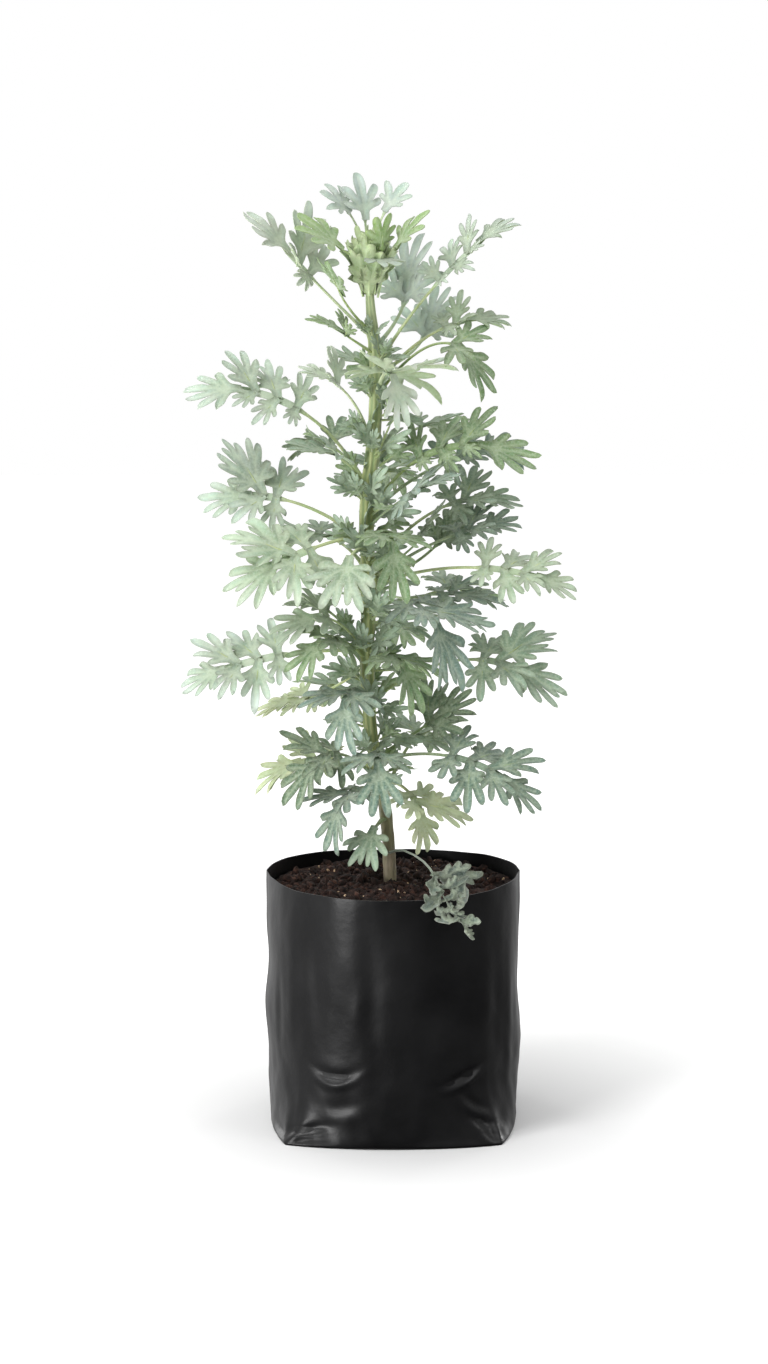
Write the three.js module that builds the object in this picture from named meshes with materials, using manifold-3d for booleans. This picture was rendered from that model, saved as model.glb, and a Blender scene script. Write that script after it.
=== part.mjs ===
// Potted wormwood: one leafy stem in a soft black grow bag filled with soil.
// Millimetres, +Z up. The origin is the middle of the bag's underside, which rests on z = 0.
// +X is the right-hand side seen from the front, and the front faces -Y.

import * as THREE from 'three';
import Module from 'manifold-3d';

const wasm = await Module();
wasm.setup();

// Grow bag: a folded square base that turns round a little above the floor.
const BAG_HEIGHT = 190;
const BAG_RADIUS = 95;
const BAG_BELLY = 1.5;
const BASE_HALF_SIDE = 82;
const BASE_BOW = 12;
const BASE_FADE = 22;
const FILM = 1.2;
const RIM_PINCH = 0.07;
const AROUND = 32;
const BAG_LEVELS = [0, 10, 30, 62, 120];

// Soil: fills the bag to a little below the rim and heaps up round the stem.
const GAP = 0.3;
const SOIL_EDGE_Z = 180;
const SOIL_HEAP = 4;
const SOIL_LUMP = 1.6;
const SOIL_RINGS = [0.24, 0.54, 0.82];
const HOLE_RADIUS = 6.4;
const HOLE_FLOOR_Z = 96;

// Main stem, from the root end to the growing tip: [x, y, z, radius].
const STEM_SIDES = 8;
const STEM_PATH = [
  [-2, 0, 98, 1.2],
  [-2, 0, 112, 2.4],
  [-2, 0, 150, 4.2],
  [-2, 0, 184, 5.0],
  [-5, 0, 236, 4.6],
  [-17, 0, 295, 4.7],
  [-20, 0, 352, 5.0],
  [-18, 0, 409, 5.2],
  [-21, 0, 464, 5.2],
  [-15, 0, 517, 5.0],
  [-13, 0, 544, 4.8],
  [-13, 0, 584, 4.6],
  [-17, 0, 612, 3.8],
  [-18, 0, 628, 2.6],
];

// Leaf build.
const BLADE_THICK = 1.0;
const STALK_THICK = 2.2;
const STALK_HALF_WIDTH = 1.25;
const DIVISION_HALF_BASE = 1.6;
const NECK_AT = 0.16;
const HUB_AT = 0.18;
const SINUS_AT = 0.6;
const LOBE_FILL = 0.31;
const LOBE_TIP = [[0.78, -1], [1, 0.1], [0.82, 1]];

// How a leaf is cut. Each pair of side divisions is [place along the blade, angle from the
// rib, length against the leaf's own reach, lobes, spread, tilt above the blade]. The end
// division starts at tip. Neighbouring divisions tilt apart, so they overlap without touching.
const LEAF_PLANS = {
  fan3: { pairs: [], tip: 0, lobes: 3, spread: 80 },
  fan4: { pairs: [], tip: 0, lobes: 4, spread: 104 },
  fan5: { pairs: [], tip: 0, lobes: 5, spread: 120 },
  one: { pairs: [[0.06, 62, 1, 3, 60, 12]], tip: 0.16, lobes: 4, spread: 66 },
  two: {
    pairs: [[0.03, 88, 0.8, 3, 60, -12], [0.2, 50, 1, 3, 54, 14]],
    tip: 0.36,
    lobes: 4,
    spread: 66,
  },
  three: {
    pairs: [[0.03, 86, 0.75, 3, 52, 12], [0.22, 66, 1, 3, 48, -12], [0.42, 46, 0.9, 3, 44, 12]],
    tip: 0.56,
    lobes: 4,
    spread: 58,
  },
};

// The leaves from the top down. at: height on the stem. elbow: where the stalk meets the
// blade. end: tip of the blade. reach: length of the side divisions, right then left as seen
// from the stem. roll: turn of the blade about its rib. lift: rise of both sides, degrees.
const LEAVES = [
  // Long leaves under the top shoot.
  { at: 600, elbow: [-61, -4, 640], end: [-107, -8, 690], plan: 'two', reach: [42, 24], roll: 35, lift: 25 },
  { at: 603, elbow: [-38, -18, 626], end: [-50, -30, 656], plan: 'fan4', roll: 20, lift: 0 },
  { at: 586, elbow: [-34, -18, 597], end: [-62, -22, 614], plan: 'one', reach: [19, 16], roll: 20, lift: 30 },
  { at: 583, elbow: [33, -2, 636], end: [90, 2, 685], plan: 'three', reach: [18, 29], roll: -30, lift: 14 },
  { at: 592, elbow: [8, 22, 620], end: [12, 36, 675], plan: 'one', reach: [34, 30], roll: 0, lift: 10 },
  { at: 572, elbow: [23, 32, 594], end: [36, 48, 636], plan: 'one', reach: [26, 30], roll: -20, lift: 10 },
  { at: 566, elbow: [38, 12, 602], end: [89, 20, 609], plan: 'two', reach: [20, 24], roll: -25, lift: 25 },
  { at: 560, elbow: [43, -12, 591], end: [75, -20, 554], plan: 'one', reach: [32, 32], roll: -25, lift: 0 },
  { at: 557, elbow: [-6, -20, 570], end: [10, -46, 532], plan: 'two', reach: [38, 50], roll: 10, lift: 8 },
  { at: 528, elbow: [-41, -14, 561], end: [-70, -20, 576], plan: 'one', reach: [30, 18], roll: 30, lift: 10 },
  // Upper middle, left.
  { at: 492, elbow: [-70, -6, 542], end: [-155, -14, 557], plan: 'three', reach: [40, 24], roll: 50, lift: 5 },
  { at: 489, elbow: [-40, -24, 508], end: [-80, -42, 520], plan: 'one', reach: [34, 30], roll: 20, lift: 0 },
  { at: 482, elbow: [-46, 30, 512], end: [-80, 58, 510], plan: 'one', reach: [34, 34], roll: 20, lift: 0 },
  { at: 447, elbow: [-86, 6, 475], end: [-146, 4, 473], plan: 'two', reach: [52, 30], roll: 50, lift: 5 },
  { at: 448, elbow: [-61, -32, 441], end: [-122, -60, 409], plan: 'two', reach: [48, 40], roll: 40, lift: 0 },
  { at: 438, elbow: [-32, -49, 436], end: [-41, -82, 402], plan: 'fan4', roll: 0, lift: 0 },
  { at: 446, elbow: [-8, -28, 453], end: [7, -58, 404], plan: 'two', reach: [28, 30], roll: 0, lift: 0 },
  // Upper middle, right.
  { at: 508, elbow: [-3, -12, 531], end: [9, -16, 550], plan: 'fan3', roll: -20, lift: 0 },
  { at: 470, elbow: [18, -6, 505], end: [109, -14, 505], plan: 'three', reach: [22, 38], roll: -45, lift: 10 },
  { at: 466, elbow: [38, 24, 500], end: [107, 44, 511], plan: 'two', reach: [22, 34], roll: -40, lift: 6 },
  { at: 424, elbow: [44, 18, 470], end: [99, 26, 472], plan: 'two', reach: [26, 34], roll: -30, lift: 5 },
  { at: 458, elbow: [8, -22, 478], end: [48, -44, 498], plan: 'two', reach: [32, 34], roll: -20, lift: 0 },
  { at: 422, elbow: [18, -6, 444], end: [36, -12, 476], plan: 'one', reach: [22, 21], roll: -10, lift: 0 },
  { at: 414, elbow: [34, 36, 438], end: [56, 58, 470], plan: 'one', reach: [24, 24], roll: -20, lift: 0 },
  { at: 416, elbow: [47, 8, 448], end: [98, 16, 458], plan: 'two', reach: [24, 32], roll: -30, lift: 5 },
  { at: 412, elbow: [66, -22, 426], end: [138, -38, 409], plan: 'three', reach: [30, 34], roll: -35, lift: 5 },
  // Lower middle, left.
  { at: 357, elbow: [-50, 18, 389], end: [-85, 28, 395], plan: 'one', reach: [20, 20], roll: 10, lift: 0 },
  { at: 364, elbow: [-48, -22, 388], end: [-92, -40, 380], plan: 'one', reach: [30, 28], roll: 30, lift: 0 },
  { at: 361, elbow: [-84, -6, 358], end: [-160, -20, 336], plan: 'three', reach: [42, 34], roll: 45, lift: 0 },
  { at: 346, elbow: [-56, 20, 325], end: [-108, 32, 312], plan: 'two', reach: [26, 24], roll: 20, lift: 0 },
  { at: 359, elbow: [-40, -22, 372], end: [-78, -54, 352], plan: 'two', reach: [30, 30], roll: 20, lift: 0 },
  { at: 328, elbow: [-30, -22, 334], end: [-38, -48, 290], plan: 'two', reach: [36, 34], roll: 0, lift: -8 },
  { at: 354, elbow: [-4, -26, 362], end: [22, -52, 322], plan: 'two', reach: [28, 36], roll: 0, lift: -12 },
  // Lower middle, right.
  { at: 401, elbow: [14, -32, 402], end: [49, -66, 341], plan: 'two', reach: [34, 48], roll: 0, lift: 0 },
  { at: 394, elbow: [34, 14, 402], end: [88, 20, 396], plan: 'two', reach: [30, 28], roll: -20, lift: 0 },
  { at: 326, elbow: [66, -8, 355], end: [129, -28, 328], plan: 'two', reach: [38, 50], roll: -35, lift: 0 },
  { at: 281, elbow: [26, 14, 302], end: [62, 10, 328], plan: 'one', reach: [30, 38], roll: -40, lift: 0 },
  // Low leaves.
  { at: 278, elbow: [42, -22, 284], end: [110, -52, 248], plan: 'three', reach: [40, 44], roll: -30, lift: 0 },
  { at: 272, elbow: [-50, 18, 275], end: [-110, 28, 254], plan: 'two', reach: [32, 24], roll: 30, lift: 0 },
  { at: 268, elbow: [-42, -12, 284], end: [-80, -34, 248], plan: 'two', reach: [34, 32], roll: 30, lift: 0 },
  { at: 257, elbow: [-28, -16, 258], end: [-50, -36, 211], plan: 'two', reach: [32, 30], roll: 0, lift: 0 },
  { at: 274, elbow: [-12, -30, 288], end: [-9, -64, 244], plan: 'two', reach: [30, 28], roll: 0, lift: -12 },
  { at: 233, elbow: [-14, -18, 228], end: [-26, -40, 201], plan: 'fan4', roll: 0, lift: 0 },
  { at: 263, elbow: [13, -27, 256], end: [24, -46, 213], plan: 'two', reach: [24, 42], roll: 0, lift: 0 },
  // Leaves of the back.
  { at: 252, elbow: [16, 45, 285], end: [38, 108, 270], plan: 'two', reach: [36, 36], roll: 0, lift: 5 },
  { at: 300, elbow: [-34, 42, 322], end: [-45, 100, 312], plan: 'one', reach: [40, 38], roll: 0, lift: 5 },
  { at: 343, elbow: [0, 52, 372], end: [8, 118, 352], plan: 'two', reach: [36, 36], roll: 0, lift: 5 },
  { at: 380, elbow: [40, 45, 402], end: [80, 92, 390], plan: 'one', reach: [30, 38], roll: 0, lift: 5 },
  { at: 425, elbow: [-50, 45, 442], end: [-92, 88, 430], plan: 'two', reach: [34, 34], roll: 0, lift: 5 },
  { at: 465, elbow: [-5, 48, 492], end: [0, 108, 478], plan: 'one', reach: [38, 38], roll: 0, lift: 5 },
  { at: 508, elbow: [20, 40, 526], end: [48, 84, 524], plan: 'one', reach: [30, 30], roll: 0, lift: 5 },
  { at: 545, elbow: [-20, 38, 572], end: [-22, 84, 562], plan: 'one', reach: [30, 30], roll: 0, lift: 5 },
];

// The old leaf that has dried and hangs out over the rim at the front.
const WITHERED_LEAF = {
  at: 206, elbow: [36, -94, 202], end: [58, -108, 165], plan: 'two', reach: [18, 26], roll: 0, lift: 0,
};

// Top shoot: a closed bud of young leaves, [x, y, z, radius], with open leaves grown from it.
const BUD = [
  [-18, 0, 628.5, 2.6],
  [-18, 0, 638, 6],
  [-18, 0, 650, 8.5],
  [-19, 0, 662, 7.5],
  [-19, 0, 671, 3.5],
  [-19, 0, 674, 1],
];
const YOUNG_LEAVES = [
  { elbow: [-21, 8, 682], end: [-26, 14, 716], plan: 'fan3' },
  { elbow: [-33, 4, 687], end: [-51, -2, 706], plan: 'fan4', roll: 40 },
  { elbow: [-6, 8, 688], end: [10, 14, 710], plan: 'fan3', roll: -40 },
  { elbow: [-8, -11, 660], end: [-10, -15, 686], plan: 'fan4', roll: -10 },
  { elbow: [2, -10, 660], end: [22, -16, 691], plan: 'fan3', roll: -40 },
  { elbow: [-38, -16, 660], end: [-70, -26, 686], plan: 'fan4', roll: 40 },
];

const UP = new THREE.Vector3(0, 0, 1);
const radians = THREE.MathUtils.degToRad;

// Repeatable numbers from 0 to 1, so every build gives the same plant.
function steadyRandom(seed) {
  let state = seed * 7919 + 17;
  return () => {
    state = (state * 16807) % 2147483647;
    return state / 2147483647;
  };
}

function meshFrom(name, positions, faces, colour) {
  const geometry = new THREE.BufferGeometry();
  geometry.setAttribute('position', new THREE.Float32BufferAttribute(positions.flat(), 3));
  geometry.setIndex(faces.flat());
  geometry.computeVertexNormals();
  const mesh = new THREE.Mesh(geometry, new THREE.MeshStandardMaterial({ color: colour }));
  mesh.name = name;
  return mesh;
}

// Joins ring after ring of equal point counts into a closed skin. The rings run from the
// outside bottom up and over, and the first and last rings are closed by flat caps. Facing
// walls are split the same way whether they run up or down, so a thin gap stays even.
function closedRings(rings) {
  const count = rings[0].length;
  const positions = rings.flat();
  const faces = [];
  for (let r = 0; r + 1 < rings.length; r += 1) {
    for (let i = 0; i < count; i += 1) {
      const next = (i + 1) % count;
      const a = r * count + i;
      const b = r * count + next;
      const c = (r + 1) * count + next;
      const d = (r + 1) * count + i;
      if (rings[r + 1][0][2] >= rings[r][0][2]) {
        faces.push([a, b, c], [a, c, d]);
      } else {
        faces.push([a, b, d], [b, c, d]);
      }
    }
  }
  const last = (rings.length - 1) * count;
  for (let i = 1; i + 1 < count; i += 1) {
    faces.push([0, i + 1, i], [last, last + i, last + i + 1]);
  }
  return { positions, faces };
}

// Outline of the bag at one height, pulled in by inset.
function bagRing(z, inset) {
  const squareness = Math.exp(-z / BASE_FADE);
  const belly = BAG_BELLY * Math.sin(Math.PI * Math.min(1, z / BAG_HEIGHT));
  const pinch = RIM_PINCH * Math.max(0, z / BAG_HEIGHT - 0.6) / 0.4;
  const ring = [];
  for (let i = 0; i < AROUND; i += 1) {
    const angle = (2 * Math.PI * i) / AROUND;
    const fromSide = Math.abs(((angle + Math.PI / 4) % (Math.PI / 2)) - Math.PI / 4);
    const bow = BASE_BOW * (1 - Math.tan(fromSide) ** 2);
    const square = (BASE_HALF_SIDE + bow) / Math.cos(fromSide);
    const round = BAG_RADIUS + belly;
    const radius = square * squareness + round * (1 - squareness) - inset;
    const flatten = 1 - pinch * (1 - Math.abs(Math.sin(angle)));
    ring.push([radius * Math.cos(angle), radius * Math.sin(angle) * flatten, z]);
  }
  return ring;
}

// The rim dips a little at the front and rises at the sides.
function rimRing(inset, drop) {
  return bagRing(BAG_HEIGHT, inset).map(([x, y]) => {
    const angle = Math.atan2(y, x);
    return [x, y, BAG_HEIGHT - drop + 1.5 * Math.cos(2 * angle) + 0.8 * Math.sin(3 * angle)];
  });
}

function growBag() {
  const outside = BAG_LEVELS.map((z) => bagRing(z, 0));
  const inside = BAG_LEVELS.slice(1).map((z) => bagRing(z, FILM)).reverse();
  const floor = bagRing(FILM, FILM);
  const rings = [...outside, rimRing(0, 0), rimRing(FILM, 0), ...inside, floor];
  const { positions, faces } = closedRings(rings);
  return meshFrom('grow_bag', positions, faces, 0x2b2b2e);
}

function soilBed() {
  const random = steadyRandom(3);
  const wall = BAG_LEVELS.slice(1).map((z) => bagRing(z, FILM + GAP));
  const base = bagRing(FILM + GAP, FILM + GAP + 0.2);
  const edge = bagRing(SOIL_EDGE_Z, FILM + GAP);
  const [stemX, stemY] = STEM_PATH[2];
  const hole = edge.map((unused, i) => {
    const angle = (2 * Math.PI * i) / AROUND;
    return [stemX + HOLE_RADIUS * Math.cos(angle), stemY + HOLE_RADIUS * Math.sin(angle)];
  });
  const top = SOIL_RINGS.map((share) => hole.map(([x, y], i) => {
    const [edgeX, edgeY] = edge[i];
    const lump = SOIL_LUMP * (random() - 0.5) * 2;
    const height = SOIL_EDGE_Z + SOIL_HEAP * (1 - share) + lump;
    return [x + (edgeX - x) * share, y + (edgeY - y) * share, height];
  })).reverse();
  const mouth = hole.map(([x, y]) => [x, y, SOIL_EDGE_Z + SOIL_HEAP]);
  const holeFloor = hole.map(([x, y]) => [x, y, HOLE_FLOOR_Z]);
  const { positions, faces } = closedRings([base, ...wall, edge, ...top, mouth, holeFloor]);
  return meshFrom('soil', positions, faces, 0x3c2a20);
}

function roundLoft(path) {
  const rings = path.map(([x, y, z, radius]) => {
    const ring = [];
    for (let i = 0; i < STEM_SIDES; i += 1) {
      const angle = (2 * Math.PI * i) / STEM_SIDES;
      ring.push([x + radius * Math.cos(angle), y + radius * Math.sin(angle), z]);
    }
    return ring;
  });
  return closedRings(rings);
}

function mainStem() {
  const { positions, faces } = roundLoft(STEM_PATH);
  return meshFrom('main_stem', positions, faces, 0x7d8a52);
}

// Middle line and radius of the stem at a height.
function stemAt(z) {
  let i = 0;
  while (i + 2 < STEM_PATH.length && STEM_PATH[i + 1][2] < z) {
    i += 1;
  }
  const [low, high] = [STEM_PATH[i], STEM_PATH[i + 1]];
  const share = (z - low[2]) / (high[2] - low[2]);
  const mix = low.map((value, k) => value + (high[k] - value) * share);
  return { middle: new THREE.Vector3(mix[0], mix[1], z), radius: mix[3] };
}

// Lobed end of a division in its own flat frame: along, across and rise of each point.
function fanOutline(lobes, spread, length, random) {
  const hub = length * HUB_AT;
  const apart = radians(spread) / (lobes - 1);
  const neck = DIVISION_HALF_BASE + 0.05 * length;
  const points = [[length * NECK_AT, -neck, 0]];
  let last = null;
  for (let i = 0; i < lobes; i += 1) {
    const side = (2 * i) / (lobes - 1) - 1;
    const angle = radians((side * spread) / 2) + (random() - 0.5) * 0.16 * apart;
    const reach = (length - hub) * (1 - 0.17 * side * side) * (0.95 + 0.1 * random());
    const half = LOBE_FILL * reach * apart;
    const rise = (random() - 0.5) * 0.16 * length;
    if (last) {
      const between = (angle + last.angle) / 2;
      const deep = SINUS_AT * Math.min(reach, last.reach);
      points.push([hub + deep * Math.cos(between), deep * Math.sin(between), 0]);
    }
    for (const [out, sideways] of LOBE_TIP) {
      points.push([
        hub + reach * out * Math.cos(angle) - half * sideways * Math.sin(angle),
        reach * out * Math.sin(angle) + half * sideways * Math.cos(angle),
        rise * out * out,
      ]);
    }
    last = { angle, reach };
  }
  points.push([length * NECK_AT, neck, 0]);
  return points;
}

function signedArea(points, [a, b, c]) {
  const [p, q, r] = [points[a], points[b], points[c]];
  return (q[0] - p[0]) * (r[1] - p[1]) - (r[0] - p[0]) * (q[1] - p[1]);
}

// A leaf as one thin sheet: a stalk strip with lobed divisions grown off its sides and end.
// Gives the middle points, each with its half thickness as a vector, and the triangles
// facing the upper side.
function leafSheet(leaf, start, seed) {
  const random = steadyRandom(seed);
  const plan = LEAF_PLANS[leaf.plan];
  const elbow = new THREE.Vector3(...leaf.elbow);
  const end = new THREE.Vector3(...leaf.end);
  const bendAt = start.distanceTo(elbow) / (start.distanceTo(elbow) + elbow.distanceTo(end));
  const bladeLength = elbow.distanceTo(end);
  const control = elbow.clone()
    .addScaledVector(start, -((1 - bendAt) ** 2))
    .addScaledVector(end, -(bendAt ** 2))
    .divideScalar(2 * bendAt * (1 - bendAt));
  const rib = new THREE.QuadraticBezierCurve3(start, control, end);
  const away = end.clone().sub(start).setZ(0).normalize();
  const roll = radians(leaf.roll ?? 0);

  const frameAt = (t) => {
    const tangent = rib.getTangent(t);
    const level = away.clone().cross(UP);
    level.addScaledVector(tangent, -level.dot(tangent)).normalize();
    const face = level.clone().cross(tangent);
    const right = level.clone().multiplyScalar(Math.cos(roll)).addScaledVector(face, Math.sin(roll));
    const normal = face.clone().multiplyScalar(Math.cos(roll)).addScaledVector(level, -Math.sin(roll));
    return { point: rib.getPoint(t), tangent, right, normal };
  };

  const points = [];
  const halves = [];
  const faces = [];
  const addPoint = (point, direction, half) => {
    points.push(point);
    halves.push(direction.clone().multiplyScalar(half));
    return points.length - 1;
  };

  // Stalk strip, with a station either side of every pair of divisions.
  const stations = [0, 0.35, 0.72].map((share) => share * bendAt);
  const baseStep = DIVISION_HALF_BASE / (rib.getLength() || 1);
  const pairStations = [];
  for (const [place] of plan.pairs) {
    const centre = bendAt + place * (1 - bendAt);
    pairStations.push(stations.length);
    stations.push(centre - baseStep, centre + baseStep);
  }
  stations.push(bendAt + plan.tip * (1 - bendAt));
  const strip = stations.map((t) => {
    const frame = frameAt(t);
    const isBlade = t > bendAt * 0.9;
    const half = isBlade ? BLADE_THICK * 0.7 : STALK_THICK / 2;
    const edge = (side) => frame.point.clone().addScaledVector(frame.right, side * STALK_HALF_WIDTH);
    const right = addPoint(edge(1), frame.normal, half);
    const left = addPoint(edge(-1), frame.normal, half);
    return { frame, right, left };
  });
  for (let i = 0; i + 1 < strip.length; i += 1) {
    const [near, far] = [strip[i], strip[i + 1]];
    faces.push([near.right, far.right, far.left], [near.right, far.left, near.left]);
  }

  // One division: its base edge is shared with the strip.
  const addDivision = (axes, length, lobes, spread, firstBase, lastBase, mirrored) => {
    const { origin, along, across, up } = axes;
    const flat = (point) => {
      const offset = point.clone().sub(origin);
      return [offset.dot(along), offset.dot(across)];
    };
    const outline = fanOutline(lobes, spread, length, random);
    const droop = 0.1 + 0.12 * random();
    const ids = [firstBase];
    const flatPoints = [flat(points[firstBase])];
    for (const [a, b, rise] of outline) {
      const sag = rise - droop * length * (a / length) ** 2 + 0.12 * Math.abs(b);
      const point = origin.clone()
        .addScaledVector(along, a)
        .addScaledVector(across, b)
        .addScaledVector(up, sag);
      ids.push(addPoint(point, up, BLADE_THICK / 2));
      flatPoints.push([a, b]);
    }
    ids.push(lastBase);
    flatPoints.push(flat(points[lastBase]));
    const contour = flatPoints.map(([a, b]) => new THREE.Vector2(a, b));
    for (const triangle of THREE.ShapeUtils.triangulateShape(contour, [])) {
      const forward = signedArea(flatPoints, triangle) > 0;
      const [a, b, c] = triangle.map((k) => ids[k]);
      faces.push(forward === mirrored ? [a, b, c] : [a, c, b]);
    }
  };

  plan.pairs.forEach(([, angle, share, lobes, spread, tilt], k) => {
    const near = strip[pairStations[k]];
    const far = strip[pairStations[k] + 1];
    for (const side of [1, -1]) {
      const length = share * leaf.reach[side === 1 ? 0 : 1];
      const firstBase = side === 1 ? far.right : far.left;
      const lastBase = side === 1 ? near.right : near.left;
      const origin = points[firstBase].clone().add(points[lastBase]).multiplyScalar(0.5);
      const turn = radians(angle + (random() - 0.5) * 10);
      const rise = radians(leaf.lift + tilt + (random() - 0.5) * 8);
      const { tangent, right, normal } = near.frame;
      const outwardDir = tangent.clone().multiplyScalar(Math.cos(turn))
        .addScaledVector(right, side * Math.sin(turn));
      const across = tangent.clone().multiplyScalar(-Math.sin(turn))
        .addScaledVector(right, side * Math.cos(turn));
      const along = outwardDir.clone().multiplyScalar(Math.cos(rise))
        .addScaledVector(normal, Math.sin(rise));
      const up = normal.clone().multiplyScalar(Math.cos(rise))
        .addScaledVector(outwardDir, -Math.sin(rise));
      const axes = { origin, along, across, up };
      addDivision(axes, length, lobes, spread, firstBase, lastBase, side === -1);
    }
  });

  const neck = strip[strip.length - 1];
  const along = end.clone().sub(neck.frame.point);
  const tipLength = along.length();
  along.normalize();
  const across = neck.frame.right.clone();
  across.addScaledVector(along, -across.dot(along)).normalize();
  const up = across.clone().cross(along);
  const axes = { origin: neck.frame.point, along, across, up };
  addDivision(axes, tipLength, plan.lobes, plan.spread, neck.left, neck.right, false);
  return { points, halves, faces };
}

// Gives a sheet its thickness: two like faces joined round the edge.
function thicken({ points, halves, faces }) {
  const edges = new Map();
  for (const face of faces) {
    for (let i = 0; i < 3; i += 1) {
      const next = face[(i + 1) % 3];
      edges.set(`${face[i]}_${next}`, [face[i], next]);
    }
  }
  const positions = [1, -1].flatMap((side) => points.map(
    (point, k) => point.clone().addScaledVector(halves[k], side).toArray(),
  ));
  const under = points.length;
  const skin = [];
  for (const [a, b, c] of faces) {
    skin.push([a, b, c], [under + c, under + b, under + a]);
  }
  for (const [a, b] of edges.values()) {
    if (!edges.has(`${b}_${a}`)) {
      skin.push([a, under + a, under + b], [a, under + b, b]);
    }
  }
  return { positions, faces: skin };
}

// Where a leaf's stalk starts: just clear of the stem, on the side the leaf goes to.
function stalkStart(leaf) {
  const { middle, radius } = stemAt(leaf.at);
  const outward = new THREE.Vector3(...leaf.elbow).sub(middle).setZ(0).normalize();
  return middle.addScaledVector(outward, radius + 0.4 + STALK_THICK / 2);
}

function leafMesh(name, leaf, seed, colour) {
  const { positions, faces } = thicken(leafSheet(leaf, stalkStart(leaf), seed));
  return meshFrom(name, positions, faces, colour);
}

function solidFrom({ positions, faces }) {
  const mesh = new wasm.Mesh({
    numProp: 3,
    vertProperties: Float32Array.from(positions.flat()),
    triVerts: Uint32Array.from(faces.flat()),
  });
  return new wasm.Manifold(mesh);
}

// The bud and its open young leaves grow as one piece.
function topShoot() {
  const root = new THREE.Vector3(-18, 0, 650);
  const pieces = YOUNG_LEAVES.map((leaf, i) => solidFrom(thicken(leafSheet(leaf, root, 81 + i))));
  const joined = wasm.Manifold.union([solidFrom(roundLoft(BUD)), ...pieces]).getMesh();
  const positions = [];
  for (let i = 0; i < joined.vertProperties.length; i += joined.numProp) {
    positions.push(Array.from(joined.vertProperties.slice(i, i + 3)));
  }
  return meshFrom('top_shoot', positions, [Array.from(joined.triVerts)], 0xc5d3b8);
}

const plant = new THREE.Group();
plant.add(growBag(), soilBed(), mainStem(), topShoot());
LEAVES.forEach((leaf, index) => {
  const name = `leaf_${String(index + 1).padStart(2, '0')}`;
  plant.add(leafMesh(name, leaf, index + 1, 0x9db59a));
});
plant.add(leafMesh('withered_leaf', WITHERED_LEAF, 71, 0x8a9a8c));

export default plant;
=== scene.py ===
import math
import random

import bmesh
import bpy
import numpy as np
from mathutils import Matrix, Vector, noise
from mathutils.geometry import delaunay_2d_cdt


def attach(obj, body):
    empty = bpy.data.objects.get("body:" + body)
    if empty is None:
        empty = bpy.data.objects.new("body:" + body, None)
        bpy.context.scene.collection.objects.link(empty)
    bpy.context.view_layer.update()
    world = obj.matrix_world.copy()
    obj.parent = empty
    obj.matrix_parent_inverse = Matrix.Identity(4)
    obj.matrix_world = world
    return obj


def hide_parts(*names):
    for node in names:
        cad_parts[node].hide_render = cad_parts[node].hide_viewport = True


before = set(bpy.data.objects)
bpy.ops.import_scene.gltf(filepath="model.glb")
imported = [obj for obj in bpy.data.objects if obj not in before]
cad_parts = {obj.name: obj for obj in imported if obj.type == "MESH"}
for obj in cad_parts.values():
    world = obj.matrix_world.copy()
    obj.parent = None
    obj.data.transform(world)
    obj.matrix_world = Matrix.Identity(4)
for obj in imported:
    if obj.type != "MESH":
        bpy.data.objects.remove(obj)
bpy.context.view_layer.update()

# Sizes in this file are millimetres, as on the solid part, and become metres in each mesh.
MM = 0.001


# Where it stands: a pale floor, an evenly lit white room and the photograph's camera.
# The camera is a little above the middle of the plant and looks slightly down at it.
CAMERA_DIP = 8.72
camera = bpy.data.objects.new("camera", bpy.data.cameras.new("camera"))
camera.data.lens = 77.86
camera.data.sensor_width = 36.0
camera.location = (-0.007, -2.2, 0.674)
camera.rotation_euler = (math.radians(90 - CAMERA_DIP), 0, 0)
bpy.context.scene.collection.objects.link(camera)
bpy.context.scene.camera = camera
bpy.context.scene.view_settings.view_transform = "Standard"


def put(tree, kind, inputs=(), **settings):
    """Adds one node, sets it up, and gives its inputs values or links."""
    made = tree.nodes.new(kind)
    for key, value in settings.items():
        setattr(made, key, value)
    for key, value in dict(inputs).items():
        if isinstance(value, bpy.types.NodeSocket):
            tree.links.new(value, made.inputs[key])
        else:
            made.inputs[key].default_value = value
    return made


def ranged(tree, value, low, high, to_low=0.0, to_high=1.0):
    """A value carried from one range to another and held at its ends."""
    ends = {"From Min": low, "From Max": high, "To Min": to_low, "To Max": to_high}
    return put(tree, "ShaderNodeMapRange", {"Value": value, **ends}).outputs[0]


def maths(tree, operation, first, second=0.0, **settings):
    """The result of one sum on one or two numbers."""
    made = put(tree, "ShaderNodeMath", {0: first, 1: second}, operation=operation, **settings)
    return made.outputs[0]


def finish_of(name, **sockets):
    """A new material: its node tree and its shader, with the shader's constant values set."""
    material = bpy.data.materials.new(name)
    material.use_nodes = True
    shader = material.node_tree.nodes["Principled BSDF"]
    for label, value in sockets.items():
        shader.inputs[label.replace("_", " ")].default_value = value
    return material, material.node_tree, shader


def srgb(red, green, blue):
    """A colour read off a screen, 0 to 255, as the linear value that a shader takes."""
    shares = [value / 255 for value in (red, green, blue)]
    line = [s / 12.92 if s <= 0.04045 else ((s + 0.055) / 1.055) ** 2.4 for s in shares]
    return (*line, 1.0)


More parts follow.
